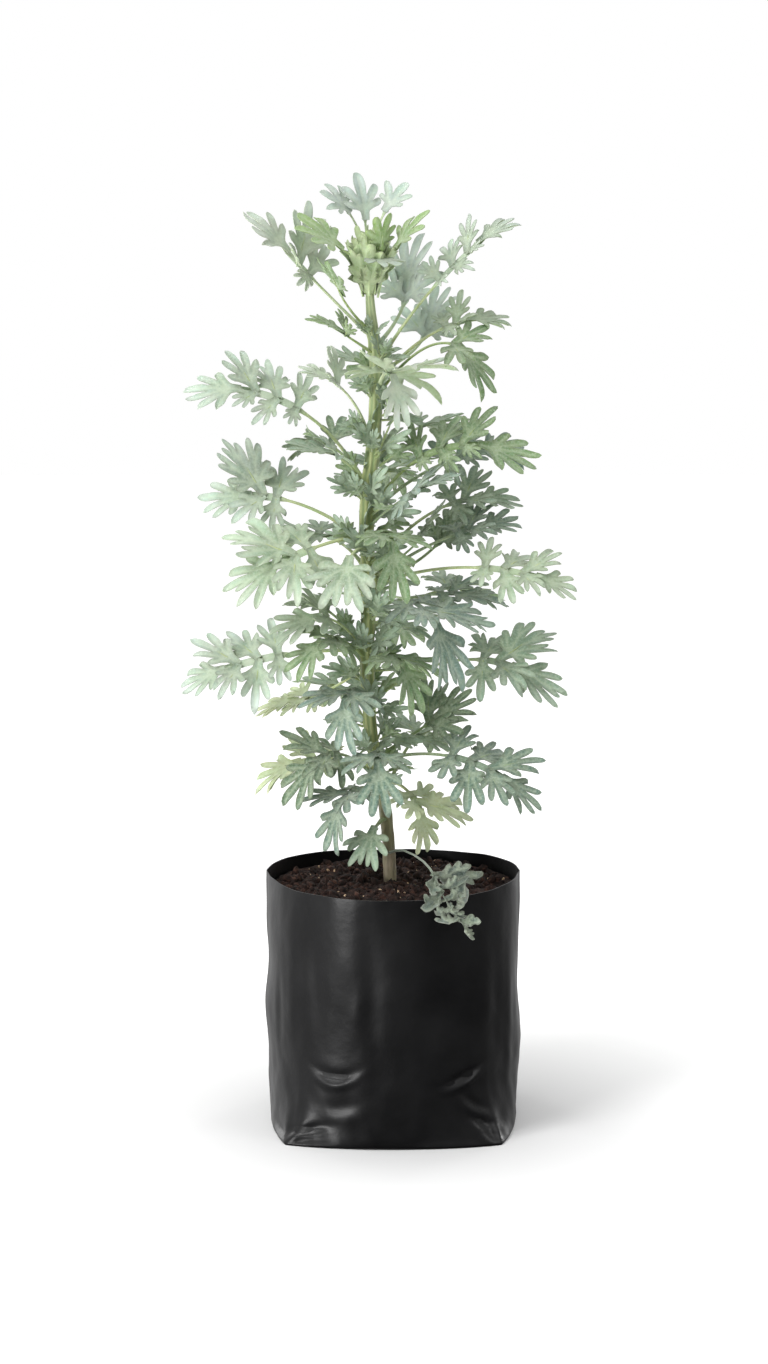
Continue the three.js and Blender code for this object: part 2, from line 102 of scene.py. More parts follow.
def mesh_piece(name, points, faces, materials, floats=(), colours=()):
    """A named object whose mesh is given in millimetres, with its point attributes."""
    mesh = bpy.data.meshes.new(name)
    mesh.from_pydata([tuple(c * MM for c in point) for point in points], [], faces)
    for label, values in dict(floats).items():
        mesh.attributes.new(label, "FLOAT", "POINT").data.foreach_set("value", values)
    for label, values in dict(colours).items():
        flat = np.asarray(values, np.float32).ravel()
        mesh.attributes.new(label, "FLOAT_COLOR", "POINT").data.foreach_set("color", flat)
    for material in materials:
        mesh.materials.append(material)
    piece = bpy.data.objects.new(name, mesh)
    bpy.context.scene.collection.objects.link(piece)
    return piece


def smooth(piece, sharp_from=180.0):
    """Smooth shading, with the edges that turn more than an angle kept sharp."""
    piece.data.shade_smooth()
    if sharp_from < 180:
        piece.data.set_sharp_from_angle(angle=math.radians(sharp_from))


FLOOR_HALF = 6000.0
WHITE = (1, 1, 1, 1)
# The floor glows up to white further out. Near the bag it glows less and its colour is darker, a
# painted soft shadow round the bag.
SHADOW_FROM = 0.12
floor_paint, tree, shader = finish_of("floor_paint", Roughness=0.9)
shader.inputs["Emission Color"].default_value = WHITE
at = put(tree, "ShaderNodeTexCoord").outputs["Object"]
away = put(tree, "ShaderNodeVectorMath", {0: at}, operation="LENGTH").outputs["Value"]
# Glow and colour are both lower near the bag: painted shadow.
lit = ranged(tree, away, SHADOW_FROM, 0.42, 0.02, 0.3)
pale = ranged(tree, away, SHADOW_FROM, 0.36, 0.77, 0.88)
tree.links.new(lit, shader.inputs["Emission Strength"])
tree.links.new(pale, shader.inputs["Base Color"])
corners = [(-1, -1), (1, -1), (1, 1), (-1, 1)]
corners = [(x * FLOOR_HALF, y * FLOOR_HALF, 0) for x, y in corners]
floor = mesh_piece("floor", corners, [(0, 1, 2, 3)], [floor_paint])
floor.visible_glossy = False

# The room is brightest above, behind and to the left, and darker in front and to the right.
ROOM_LIGHT, ROOM_SLOPE = 0.5, (-0.26, 0.26, 0.46)
room = bpy.data.worlds.new("white_room")
room.use_nodes = True
bpy.context.scene.world = room
tree = room.node_tree
tree.nodes.clear()
way = put(tree, "ShaderNodeTexCoord").outputs["Generated"]
slope = put(tree, "ShaderNodeVectorMath", {0: way, 1: ROOM_SLOPE}, operation="DOT_PRODUCT")
soft = maths(tree, "ADD", slope.outputs["Value"], ROOM_LIGHT)
glow = put(tree, "ShaderNodeBackground", {"Color": WHITE, "Strength": soft})
seen = put(tree, "ShaderNodeBackground", {"Color": WHITE, "Strength": 1.0})
to_camera = put(tree, "ShaderNodeLightPath").outputs["Is Camera Ray"]
both = put(tree, "ShaderNodeMixShader", {0: to_camera, 1: glow.outputs[0], 2: seen.outputs[0]})
put(tree, "ShaderNodeOutputWorld", {"Surface": both.outputs[0]})


def softbox(name, at, aim, width, height, watts):
    """A rectangular soft light that looks at a point."""
    data = bpy.data.lights.new(name, "AREA")
    data.shape = "RECTANGLE"
    data.size, data.size_y, data.energy = width, height, watts
    lamp = bpy.data.objects.new(name, data)
    lamp.location = at
    lamp.rotation_euler = (Vector(aim) - Vector(at)).to_track_quat("-Z", "Y").to_euler()
    bpy.context.scene.collection.objects.link(lamp)


softbox("key_softbox", (-1.1, -1.0, 2.0), (0, 0, 0.4), 0.7, 0.7, 25)
softbox("bag_softbox", (-1.35, -1.4, 0.26), (0, 0, 0.1), 0.55, 0.45, 17)
softbox("fill_softbox", (1.7, -0.9, 1.3), (0, 0, 0.2), 0.8, 0.8, 8)
softbox("right_edge_softbox", (1.15, 1.6, 0.5), (0, 0, 0.1), 0.35, 1.2, 8)
softbox("left_edge_softbox", (-1.3, 1.5, 0.5), (0, 0, 0.1), 0.35, 1.2, 6)


# Grow bag: one soft film of black polyethylene, open at the top and folded square below.
# It stands on its own, filled, so the film bellies and dents and its corners stick out.
BAG_HEIGHT, BAG_RADIUS, BAG_BELLY = 190.0, 95.0, 1.5
BASE_HALF_SIDE, BASE_BOW, BASE_FADE = 82.0, 12.0, 22.0
RIM_PINCH = 0.07
FILM = 0.6
# The edge of the base is rounded over FOOT_HEIGHT and tucked in by FOOT_TUCK.
FOOT_HEIGHT, FOOT_TUCK = 2.4, 2.2
CREASE_DEPTH, CREASE_REACH = 1.5, 30.0
SIDE_EDGE = 1.2
FRONT = -math.pi / 2

# Soft rounds and hollows of the film: bearing from the front, height, half width and half
# height along the film, tilt, how much the ends turn up, and depth out of the film. A fold
# is pushed in above its line and out below it.
HOLLOWS = [
    ("fold", -27, 51, 15, 4.6, 0, 0.018, 2.1),
    ("fold", 33, 51, 13, 3.6, 22, 0.004, 2.8),
    ("fold", 36, 30, 11, 4.0, -38, 0.01, 1.8),
    ("fold", 41, 14, 9, 3.0, -20, 0.02, 1.4),
    ("fold", -39, 10, 13, 3.4, 14, 0.0, 2.2),
    ("fold", -22, 28, 15, 7.0, 8, 0.01, 0.9),
    ("round", -22, 145, 16, 44, -4, 0, 1.6),
    ("round", -9, 105, 8, 42, 3, 0, -1.6),
    ("round", -24, 84, 16, 24, 12, 0, -0.8),
    ("round", 20, 76, 20, 15, 28, 0, 1.2),
    ("round", -2, 62, 16, 20, -20, 0, -1.0),
    ("round", -16, 106, 6, 16, -10, 0, 0.8),
    ("round", -36, 118, 7, 34, 6, 0, -0.9),
    ("round", -52, 120, 6, 40, 0, 0, 0.8),
    ("round", -62, 96, 5, 30, 0, 0, -1.1),
    ("round", 12, 150, 18, 26, 20, 0, 0.6),
    ("round", 24, 118, 16, 20, -25, 0, -0.9),
    ("round", 52, 110, 8, 46, 2, 0, -1.0),
    ("round", 64, 96, 6, 50, 0, 0, 1.0),
    ("round", 86, 112, 26, 22, 0, 0, -1.6),
    ("round", 88, 62, 26, 20, 0, 0, 1.5),
    ("round", -88, 128, 26, 18, 0, 0, -1.4),
    ("round", -86, 88, 26, 16, 0, 0, 1.4),
    ("round", -88, 60, 26, 14, 0, 0, -1.0),
    ("fold", 120, 60, 20, 6, -12, 0.008, 1.8),
    ("fold", 165, 42, 18, 5, 10, 0.012, 1.7),
    ("fold", -150, 70, 22, 7, 15, 0.006, 1.5),
    ("fold", -110, 44, 14, 5, -8, 0.01, 1.5),
    ("round", 150, 130, 14, 40, 5, 0, -1.2),
    ("round", -170, 110, 12, 40, -6, 0, 1.1),
    ("round", -128, 128, 10, 44, 3, 0, -1.1),
]


def film_push(angle, z):
    """How far the film stands out of, or in from, its plain shape."""
    push = 0.0
    for kind, bearing, at, wide, high, tilt, bend, depth in HOLLOWS:
        off = (angle - FRONT - math.radians(bearing) + math.pi) % (2 * math.pi) - math.pi
        u, v = off * BAG_RADIUS, z - at
        turn = math.radians(tilt)
        s = u * math.cos(turn) + v * math.sin(turn)
        t = (-u * math.sin(turn) + v * math.cos(turn) - bend * s * s) / high
        fade = math.exp(-((s / wide) ** 2) - t * t)
        push += depth * fade * (1 if kind == "round" else -2.0 * t)
    # Creases fan out from each folded corner of the base.
    u = ((angle % (math.pi / 2)) - math.pi / 4) * BAG_RADIUS * 1.2
    reach = math.hypot(u, z)
    which = int(angle // (math.pi / 2)) % 4
    fan = math.cos(5.5 * math.atan2(u, z + 2) + 1.7 * which)
    push += CREASE_DEPTH * fan * math.exp(-((reach / CREASE_REACH) ** 2)) * min(1.0, reach / 9)
    # Slow and quick waves, and finer ones low down, where the film is slack.
    x, y = math.cos(angle), math.sin(angle)
    push += 1.3 * noise.noise(Vector((x * 2.4, y * 2.4, z / 75)))
    push += 0.5 * noise.noise(Vector((x * 6 + 5, y * 6, z / 26)))
    low = max(0.0, 1 - z / 110)
    push += 0.7 * low * noise.noise(Vector((x * 9 + z / 40, y * 9, z / 13 + x * 3)))
    # A soft upright edge at each side, where the flat bag was creased.
    push += SIDE_EDGE * math.exp(-((abs(y) / 0.07) ** 2)) * (z / BAG_HEIGHT)
    return push * min(1.0, z / 6)


def bag_point(angle, z, inset=0.0):
    """A point of the bag's wall at a height, pulled in by inset."""
    from_side = abs((angle + math.pi / 4) % (math.pi / 2) - math.pi / 4)
    square = (BASE_HALF_SIDE + BASE_BOW * (1 - math.tan(from_side) ** 2)) / math.cos(from_side)
    squareness = math.exp(-z / BASE_FADE)
    belly = BAG_BELLY * math.sin(math.pi * min(1, z / BAG_HEIGHT))
    radius = square * squareness + (BAG_RADIUS + belly) * (1 - squareness) - inset
    radius += film_push(angle, z)
    pinch = RIM_PINCH * max(0.0, z / BAG_HEIGHT - 0.6) / 0.4
    flatten = 1 - pinch * (1 - abs(math.sin(angle)))
    return radius * math.cos(angle), radius * math.sin(angle) * flatten, z


def rim_height(angle):
    """The rim dips a little at the front and rises at the sides."""
    wave = 1.5 * math.cos(2 * angle) + 0.8 * math.sin(3 * angle)
    at = Vector((3 * math.cos(angle), 3 * math.sin(angle), 9))
    return BAG_HEIGHT + wave + 0.5 * noise.noise(at)


def ring_skin(rings, closed=True):
    """Points and faces that join rings of equal counts; closed ends meet in a middle point."""
    count = len(rings[0])
    points = [point for ring in rings for point in ring]
    faces = []
    for low in range(0, (len(rings) - 1) * count, count):
        high = low + count
        for i in range(count):
            j = (i + 1) % count
            faces.append((low + i, low + j, high + j, high + i))
    for ring, first in ((rings[0], 0), (rings[-1], len(points) - count)) if closed else ():
        middle = len(points)
        points.append(tuple(sum(p[k] for p in ring) / count for k in range(3)))
        for i in range(count):
            a, b = first + i, first + (i + 1) % count
            faces.append((middle, b, a) if first == 0 else (middle, a, b))
    return points, faces


BAG_AROUND = 288
angles = [2 * math.pi * i / BAG_AROUND for i in range(BAG_AROUND)]
foot = [FOOT_HEIGHT * (k / 4) ** 1.5 for k in range(4)]
wall = [FOOT_HEIGHT + 2.05 * k for k in range(91)]
rings = []
for z in foot + wall:
    tuck = FOOT_TUCK * (1 - min(1.0, z / FOOT_HEIGHT)) ** 2
    rings.append([bag_point(a, z, tuck) for a in angles])
for inset in (0.0, FILM):
    rings.append([(*bag_point(a, BAG_HEIGHT, inset)[:2], rim_height(a)) for a in angles])
# The inner side has fewer rings and ends on the film of the base.
for z in reversed(wall[3::3]):
    rings.append([bag_point(a, z, FILM) for a in angles])
rings.append([bag_point(a, FILM, FILM + FOOT_TUCK) for a in angles])
points, faces = ring_skin(rings)


def noisy(tree, at, scale, detail=2.0, roughness=0.5):
    """Cloudy noise from 0 to 1 at a place."""
    inputs = {"Vector": at, "Scale": scale, "Detail": detail, "Roughness": roughness}
    return put(tree, "ShaderNodeTexNoise", inputs).outputs["Fac"]


def mixed(tree, share, low, high, **settings):
    """The colour that lies a share of the way from one to another."""
    inputs = {0: share, 6: low, 7: high}
    return put(tree, "ShaderNodeMix", inputs, data_type="RGBA", **settings).outputs[2]


def grained(tree, shader, height, strength, distance):
    """Gives a shader fine relief that is too small for the mesh."""
    inputs = {"Strength": strength, "Distance": distance, "Height": height}
    tree.links.new(put(tree, "ShaderNodeBump", inputs).outputs[0], shader.inputs["Normal"])


film, tree, shader = finish_of("black_film", Roughness=0.36, Specular_IOR_Level=0.3)
at = put(tree, "ShaderNodeTexCoord").outputs["Object"]
cloud = noisy(tree, at, 14.0, 4.0, 0.55)
tone = mixed(tree, ranged(tree, cloud, 0.3, 0.7), srgb(12, 12, 13), srgb(20, 20, 21))
tree.links.new(tone, shader.inputs["Base Color"])
tree.links.new(ranged(tree, cloud, 0.3, 0.7, 0.3, 0.44), shader.inputs["Roughness"])
grained(tree, shader, noisy(tree, at, 90.0, 5.0), 0.25, 0.0012)

bag = mesh_piece("film_bag", points, faces, [film])
smooth(bag, 60)
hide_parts("grow_bag")
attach(bag, "root")


# Soil: dark, damp peat soil, pressed into the bag and heaped a little round the stem.
# Crumbs of peat and a few pale chips of bark and straw lie loose on top.
SOIL_EDGE, SOIL_HEAP = 180.0, 4.0
SOIL_AROUND, SOIL_RINGS = 120, 40
# How far the soil keeps inside the bag's outer side: at its top, its wall and its base.
TOP_INSET, WALL_INSET, BASE_INSET = FILM + 1.5, FILM + 3.5, FILM + 6.0
STEM_FOOT = (-2.0, 0.0)


def soil_top(share, angle):
    """A point of the soil's surface, from the stem at share 0 to the film at 1."""
    edge = bag_point(angle, SOIL_EDGE, TOP_INSET)
    x = STEM_FOOT[0] + (edge[0] - STEM_FOOT[0]) * share
    y = STEM_FOOT[1] + (edge[1] - STEM_FOOT[1]) * share
    at = Vector((x, y, 0))
    lumps = 3.0 * noise.noise(at / 13) + 2.4 * noise.noise(at / 6 + Vector((7, 0, 0)))
    lumps += 1.0 * noise.noise(at / 2.6)
    calm = min(1.0, (1 - share) * 12)
    return x, y, SOIL_EDGE + SOIL_HEAP * (1 - share) + lumps * (0.4 + 0.6 * calm)


angles = [2 * math.pi * i / SOIL_AROUND for i in range(SOIL_AROUND)]
top_rings = [[soil_top(1 - k / SOIL_RINGS, a) for a in angles] for k in range(SOIL_RINGS)]
wall_heights = (3, 7, 12, 30, 60, 100, 140, 165)
wall = [[bag_point(a, z, WALL_INSET) for a in angles] for z in wall_heights]
base = [[bag_point(a, 1.6, BASE_INSET) for a in angles]]
points, faces = ring_skin(base + wall + top_rings)

soil_look, tree, shader = finish_of("peat_soil", Roughness=0.93, Specular_IOR_Level=0.25)
at = put(tree, "ShaderNodeTexCoord").outputs["Object"]
clods = noisy(tree, at, 210.0, 6.0, 0.62)
ramp = put(tree, "ShaderNodeValToRGB", {0: clods})
stops = ramp.color_ramp.elements
stops[0].position, stops[0].color = 0.36, srgb(16, 11, 10)
stops[1].position, stops[1].color = 0.76, srgb(92, 64, 54)
stops.new(0.53).color = srgb(42, 28, 24)
tree.links.new(ramp.outputs[0], shader.inputs["Base Color"])
grained(tree, shader, clods, 0.8, 0.0012)

soil = mesh_piece("soil_bed", points, faces, [soil_look])
smooth(soil)
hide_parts("soil")
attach(soil, "root")


def shape_tree(name, inputs):
    """An empty Geometry Nodes tree with named inputs: its group, and its input sockets."""
    group = bpy.data.node_groups.new(name, "GeometryNodeTree")
    group.interface.new_socket("Geometry", in_out="OUTPUT", socket_type="NodeSocketGeometry")
    group.interface.new_socket("Geometry", in_out="INPUT", socket_type="NodeSocketGeometry")
    for label, kind in inputs:
        group.interface.new_socket(label, in_out="INPUT", socket_type="NodeSocket" + kind)
    return group, put(group, "NodeGroupInput").outputs


def end_tree(group, instances, material):
    """Ends a tree: the copies become one plain mesh with its material."""
    real = put(group, "GeometryNodeRealizeInstances", {0: instances})
    inputs = {"Geometry": real.outputs[0], "Material": material}
    dressed = put(group, "GeometryNodeSetMaterial", inputs)
    put(group, "NodeGroupOutput", {0: dressed.outputs[0]})


def run_tree(name, group, carrier, values):
    """Runs a tree once on a carrier mesh and keeps the result as a plain mesh object."""
    piece = bpy.data.objects.new(name, carrier)
    bpy.context.scene.collection.objects.link(piece)
    modifier = piece.modifiers.new(name, "NODES")
    modifier.node_group = group
    for item in group.interface.items_tree:
        if item.in_out == "INPUT" and item.name in values:
            modifier[item.identifier] = values[item.name]
    grown = piece.evaluated_get(bpy.context.evaluated_depsgraph_get())
    mesh = bpy.data.meshes.new_from_object(grown)
    piece.modifiers.remove(modifier)
    piece.data = mesh
    mesh.name = name
    return piece


scatter, given = shape_tree(
    "scatter_crumbs",
    [("Crumb", "Object"), ("Per Square Metre", "Float"), ("Smallest", "Float"),
     ("Largest", "Float"), ("Seed", "Int"), ("Finish", "Material")],
)
spots = put(
    scatter, "GeometryNodeDistributePointsOnFaces",
    {"Mesh": given["Geometry"], "Density": given["Per Square Metre"], "Seed": given["Seed"]},
)
crumb_source = put(scatter, "GeometryNodeObjectInfo", {"Object": given["Crumb"]})
turned = put(
    scatter, "FunctionNodeRandomValue",
    {0: (0, 0, 0), 1: (2 * math.pi,) * 3, "Seed": given["Seed"]}, data_type="FLOAT_VECTOR",
)
sized = put(
    scatter, "FunctionNodeRandomValue",
    {2: given["Smallest"], 3: given["Largest"], "Seed": given["Seed"]}, data_type="FLOAT",
)
copies = put(
    scatter, "GeometryNodeInstanceOnPoints",
    {"Points": spots.outputs[0], "Instance": crumb_source.outputs["Geometry"],
     "Rotation": turned.outputs[0], "Scale": sized.outputs[1]},
)
end_tree(scatter, copies.outputs[0], given["Finish"])


def crumb(name, stretch, seed):
    """One rough crumb, one unit across, with few faces."""
    form = bmesh.new()
    bmesh.ops.create_icosphere(form, subdivisions=1, radius=0.5)
    shaker = random.Random(seed)
    for corner in form.verts:
        corner.co *= shaker.uniform(0.72, 1.2)
        corner.co = Vector(c * s for c, s in zip(corner.co, stretch))
    mesh = bpy.data.meshes.new(name)
    form.to_mesh(mesh)
    form.free()
    made = bpy.data.objects.new(name, mesh)
    bpy.context.scene.collection.objects.link(made)
    return made


chip_look, tree, shader = finish_of("pale_chips", Roughness=0.8)
at = put(tree, "ShaderNodeTexCoord").outputs["Object"]
tan = mixed(tree, noisy(tree, at, 330.0), srgb(150, 104, 76), srgb(238, 214, 178))
tree.links.new(tan, shader.inputs["Base Color"])

# The loose pieces keep off the outermost rings, so that none reaches the film.
surface = mesh_piece("soil_surface", *ring_skin(top_rings[3:], closed=False), [])
for name, stretch, per_metre, small, large, seed, look in (
    ("peat_crumbs", (1.0, 0.85, 0.7), 40000, 2.0, 5.0, 4, soil_look),
    ("peat_clods", (1.2, 0.8, 0.7), 14000, 5.0, 12.0, 9, soil_look),
    ("bark_chips", (1.5, 0.6, 0.35), 3400, 1.6, 4.2, 2, chip_look),
):
    source = crumb(name + "_form", stretch, seed)
    values = {"Crumb": source, "Per Square Metre": float(per_metre), "Smallest": small * MM,
              "Largest": large * MM, "Seed": seed, "Finish": look}
    loose = run_tree(name, scatter, surface.data.copy(), values)
    smooth(loose)
    bpy.data.objects.remove(source)
    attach(loose, "root")
bpy.data.objects.remove(surface)


# Main stem: one upright ribbed stem, woody and grey-brown at the foot and green above.
# It grows out of the soil and swells a little where each leaf is joined to it.
STEM_PATH = [
    (-2, 0, 98, 1.2), (-2, 0, 112, 2.4), (-2, 0, 150, 4.2), (-2, 0, 184, 5.0), (-5, 0, 236, 4.6),
    (-17, 0, 295, 4.7), (-20, 0, 352, 5.0), (-18, 0, 409, 5.2), (-21, 0, 464, 5.2),
    (-15, 0, 517, 5.0), (-13, 0, 544, 4.8), (-13, 0, 584, 4.6), (-17, 0, 612, 3.8),
    (-18, 0, 628, 2.6),
]
STEM_RIBS, STEM_AROUND, STEM_STEP = 7, 56, 2.5
STEM_FROM, STEM_TO = 98, 628
# Bark reaches up to WOODY_TO and thins out below it. SCAR: height and bearing of the brown
# scar of a leaf that has dropped.
WOODY_TO, WOODY_FADE = 262, 50
SCAR = (238.0, -1.3)

# The leaves from the top down: height on the stem, where the stalk meets the blade, tip of the
# blade, how it is cut, reach of its side divisions, roll and lift in degrees, and its colour.
# The colour of each leaf names one of TONES, which hold painted light and shade as well as the
# leaves' own colours.
LEAVES = [
    # Long leaves under the top shoot.
    (600, (-61, -4, 640), (-107, -8, 690), "two", (42, 24), 35, 25, "white"),
    (603, (-38, -18, 626), (-50, -30, 656), "fan4", (0, 0), 20, 0, "green"),
    (586, (-34, -18, 597), (-62, -22, 614), "one", (19, 16), 20, 30, "green"),
    (583, (33, -2, 636), (90, 2, 685), "three", (18, 29), -30, 14, "silver"),
    (592, (8, 22, 620), (12, 36, 675), "one", (34, 30), 0, 10, "frost"),
    (572, (23, 32, 594), (36, 48, 636), "one", (26, 30), -20, 10, "frost"),
    (566, (38, 12, 602), (89, 20, 609), "two", (20, 24), -25, 25, "pale"),
    (560, (43, -12, 591), (75, -20, 554), "one", (32, 32), -25, 0, "green"),
    (557, (-6, -20, 570), (10, -46, 532), "two", (38, 50), 10, 8, "white"),
    (528, (-41, -14, 561), (-70, -20, 576), "one", (30, 18), 30, 10, "white"),
    # Upper middle, left.
    (492, (-70, -6, 542), (-155, -14, 557), "three", (40, 24), 50, 5, "silver"),
    (489, (-40, -24, 508), (-80, -42, 520), "one", (34, 30), 20, 0, "sage"),
    (482, (-46, 30, 512), (-80, 58, 510), "one", (34, 34), 20, 0, "dark"),
    (447, (-86, 6, 475), (-146, 4, 473), "two", (52, 30), 50, 5, "silver"),
    (448, (-61, -32, 441), (-122, -60, 409), "two", (48, 40), 40, 0, "pale"),
    (438, (-32, -49, 436), (-41, -82, 402), "fan4", (0, 0), 0, 0, "pale"),
    (446, (-8, -28, 453), (7, -58, 404), "two", (28, 30), 0, 0, "green"),
    # Upper middle, right.
    (508, (-3, -12, 531), (9, -16, 550), "fan3", (0, 0), -20, 0, "sage"),
    (470, (18, -6, 505), (109, -14, 505), "three", (22, 38), -45, 10, "green"),
    (466, (38, 24, 500), (107, 44, 511), "two", (22, 34), -40, 6, "blue"),
    (424, (44, 18, 470), (99, 26, 472), "two", (26, 34), -30, 5, "sage"),
    (458, (8, -22, 478), (48, -44, 498), "two", (32, 34), -20, 0, "blue"),
    (422, (18, -6, 444), (36, -12, 476), "one", (22, 21), -10, 0, "dark"),
    (414, (34, 36, 438), (56, 58, 470), "one", (24, 24), -20, 0, "dark"),
    (416, (47, 8, 448), (98, 16, 458), "two", (24, 32), -30, 5, "blue"),
    (412, (66, -22, 426), (138, -38, 409), "three", (30, 34), -35, 5, "pale"),
    # Lower middle, left.
    (357, (-50, 18, 389), (-85, 28, 395), "one", (20, 20), 10, 0, "dark"),
    (364, (-48, -22, 388), (-92, -40, 380), "one", (30, 28), 30, 0, "pale"),
    (361, (-84, -6, 358), (-160, -20, 336), "three", (42, 34), 45, 0, "silver"),
    (346, (-56, 20, 325), (-108, 32, 312), "two", (26, 24), 20, 0, "yellow"),
    (359, (-40, -22, 372), (-78, -54, 352), "two", (30, 30), 20, 0, "green"),
    (328, (-30, -22, 334), (-38, -48, 290), "two", (36, 34), 0, -8, "blue"),
    (354, (-4, -26, 362), (22, -52, 322), "two", (28, 36), 0, -12, "green"),
    # Lower middle, right.
    (401, (14, -32, 402), (49, -66, 341), "two", (34, 48), 0, 0, "blue"),
    (394, (34, 14, 402), (88, 20, 396), "two", (30, 28), -20, 0, "blue"),
    (326, (66, -8, 355), (129, -28, 328), "two", (38, 50), -35, 0, "sage"),
    (281, (26, 14, 302), (62, 10, 328), "one", (30, 38), -40, 0, "dark"),
    # Low leaves.
    (278, (42, -22, 284), (110, -52, 248), "three", (40, 44), -30, 0, "teal"),
    (272, (-50, 18, 275), (-110, 28, 254), "two", (32, 24), 30, 0, "yellow"),
    (268, (-42, -12, 284), (-80, -34, 248), "two", (34, 32), 30, 0, "dark"),
    (257, (-28, -16, 258), (-50, -36, 211), "two", (32, 30), 0, 0, "teal"),
    (274, (-12, -30, 288), (-9, -64, 244), "two", (30, 28), 0, -12, "teal"),
    (233, (-14, -18, 228), (-26, -40, 201), "fan4", (0, 0), 0, 0, "sage"),
    (263, (13, -27, 256), (24, -46, 213), "two", (24, 42), 0, 0, "yellow"),
    # Leaves of the back.
    (252, (16, 45, 285), (38, 108, 270), "two", (36, 36), 0, 5, "sage"),
    (300, (-34, 42, 322), (-45, 100, 312), "one", (40, 38), 0, 5, "sage"),
    (343, (0, 52, 372), (8, 118, 352), "two", (36, 36), 0, 5, "sage"),
    (380, (40, 45, 402), (80, 92, 390), "one", (30, 38), 0, 5, "sage"),
    (425, (-50, 45, 442), (-92, 88, 430), "two", (34, 34), 0, 5, "sage"),
    (465, (-5, 48, 492), (0, 108, 478), "one", (38, 38), 0, 5, "sage"),
    (508, (20, 40, 526), (48, 84, 524), "one", (30, 30), 0, 5, "sage"),
    (545, (-20, 38, 572), (-22, 84, 562), "one", (30, 30), 0, 5, "sage"),
]


def stem_at(z):
    """Middle and radius of the stem at a height, as straight lines join its path."""
    k = 0
    while k + 2 < len(STEM_PATH) and STEM_PATH[k + 1][2] < z:
        k += 1
    low, high = STEM_PATH[k], STEM_PATH[k + 1]
    share = (z - low[2]) / (high[2] - low[2])
    x, y, _, radius = (a + (b - a) * share for a, b in zip(low, high))
    return Vector((x, y, z)), radius


def stem_middle(z):
    """The same middle and radius, softened over a short length so the stem bends smoothly."""
    near = [stem_at(min(STEM_TO, max(STEM_FROM, z + step))) for step in (-16, -8, 0, 8, 16)]
    middle = sum((m for m, _ in near), Vector()) / len(near)
    return Vector((middle.x, middle.y, z)), sum(r for _, r in near) / len(near)


rings, rib_values, scar_values = [], [], []
for step in range(int((STEM_TO - STEM_FROM) / STEM_STEP) + 1):
    z = STEM_FROM + STEM_STEP * step
    middle, radius = stem_middle(z)
    woody = max(0.0, min(1.0, (WOODY_TO - z) / WOODY_FADE))
    ring = []
    for i in range(STEM_AROUND):
        angle = 2 * math.pi * i / STEM_AROUND
        x, y = math.cos(angle), math.sin(angle)
        rib = math.cos(STEM_RIBS * angle + z / 90)
        wide = radius * (1 + (0.075 - 0.045 * woody) * rib)
        wide += (0.12 + 0.4 * woody) * noise.noise(Vector((x * 2, y * 2, z / 7)))
        scar = math.exp(-(((z - SCAR[0]) / 4.5) ** 2) - 2.5 * (1 - math.cos(angle - SCAR[1])))
        wide += 1.5 * scar
        for leaf in LEAVES:
            near = (z - leaf[0] + 1.5) / 4.5
            if abs(near) < 2.4:
                to = math.atan2(leaf[1][1] - middle.y, leaf[1][0] - middle.x)
                wide += 0.9 * math.exp(-near * near) * math.exp(-2.2 * (1 - math.cos(angle - to)))
        ring.append((middle.x + wide * x, middle.y + wide * y, z))
        rib_values.append(0.5 + 0.5 * rib)
        scar_values.append(scar)
    rings.append(ring)
points, faces = ring_skin(rings)
rib_values += [0.5] * (len(points) - len(rib_values))
scar_values += [0.0] * (len(points) - len(scar_values))

stem_look, tree, shader = finish_of("ribbed_stem", Roughness=0.6, Sheen_Weight=0.15)
at = put(tree, "ShaderNodeTexCoord").outputs["Object"]
height = put(tree, "ShaderNodeSeparateXYZ", {0: at}).outputs["Z"]
rib = put(tree, "ShaderNodeAttribute", attribute_name="rib").outputs["Fac"]
scar = put(tree, "ShaderNodeAttribute", attribute_name="scar").outputs["Fac"]
stretch = put(tree, "ShaderNodeMapping", {"Vector": at, "Scale": (1, 1, 0.12)}).outputs[0]
streak = noisy(tree, stretch, 900.0, 3.0, 0.6)
green = mixed(tree, rib, srgb(118, 136, 84), srgb(160, 168, 112))
bark = mixed(tree, streak, srgb(92, 78, 62), srgb(176, 164, 138))
age = ranged(tree, height, 0.2, 0.285, 1.0, 0.0)
patchy = maths(tree, "SUBTRACT", noisy(tree, at, 60.0), 0.5)
grown = mixed(tree, maths(tree, "ADD", age, patchy, use_clamp=True), green, bark)
downy = mixed(tree, ranged(tree, height, 0.47, 0.62, 0.0, 0.4), grown, srgb(176, 194, 158))
tree.links.new(mixed(tree, scar, downy, srgb(58, 40, 28)), shader.inputs["Base Color"])
grained(tree, shader, streak, 0.35, 0.0005)

values = {"rib": rib_values, "scar": scar_values}
stem = mesh_piece("ribbed_stem", points, faces, [stem_look], floats=values)
smooth(stem)
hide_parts("main_stem")
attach(stem, "root")


# Leaves: thin felted blades on channelled stalks, each cut into broad divisions whose ends
# are lobed. Every leaf is one piece and grows from the stem at the foot of its stalk.
BLADE_HALF, STALK_HALF_WIDTH = 0.26, 1.25
DIVISION_HALF_BASE, NECK_AT, HUB_AT = 1.6, 0.16, 0.18
MESH_STEP = 2.3
# The side divisions are a little longer than the solid's, which closes the gaps between them.
SIDE_REACH = 1.1
# The solid's stalk starts STALK_GAP and its own half thickness off the stem. Here it starts
# ROOT_DEPTH inside the stem.
STALK_GAP, STALK_HALF, ROOT_DEPTH = 0.4, 1.1, 1.6
# The first leaves of the list, near the top, are less divided than the rest.
UPPER_LEAVES, UPPER_FINE, LOWER_FINE = 10, 0.55, 0.78
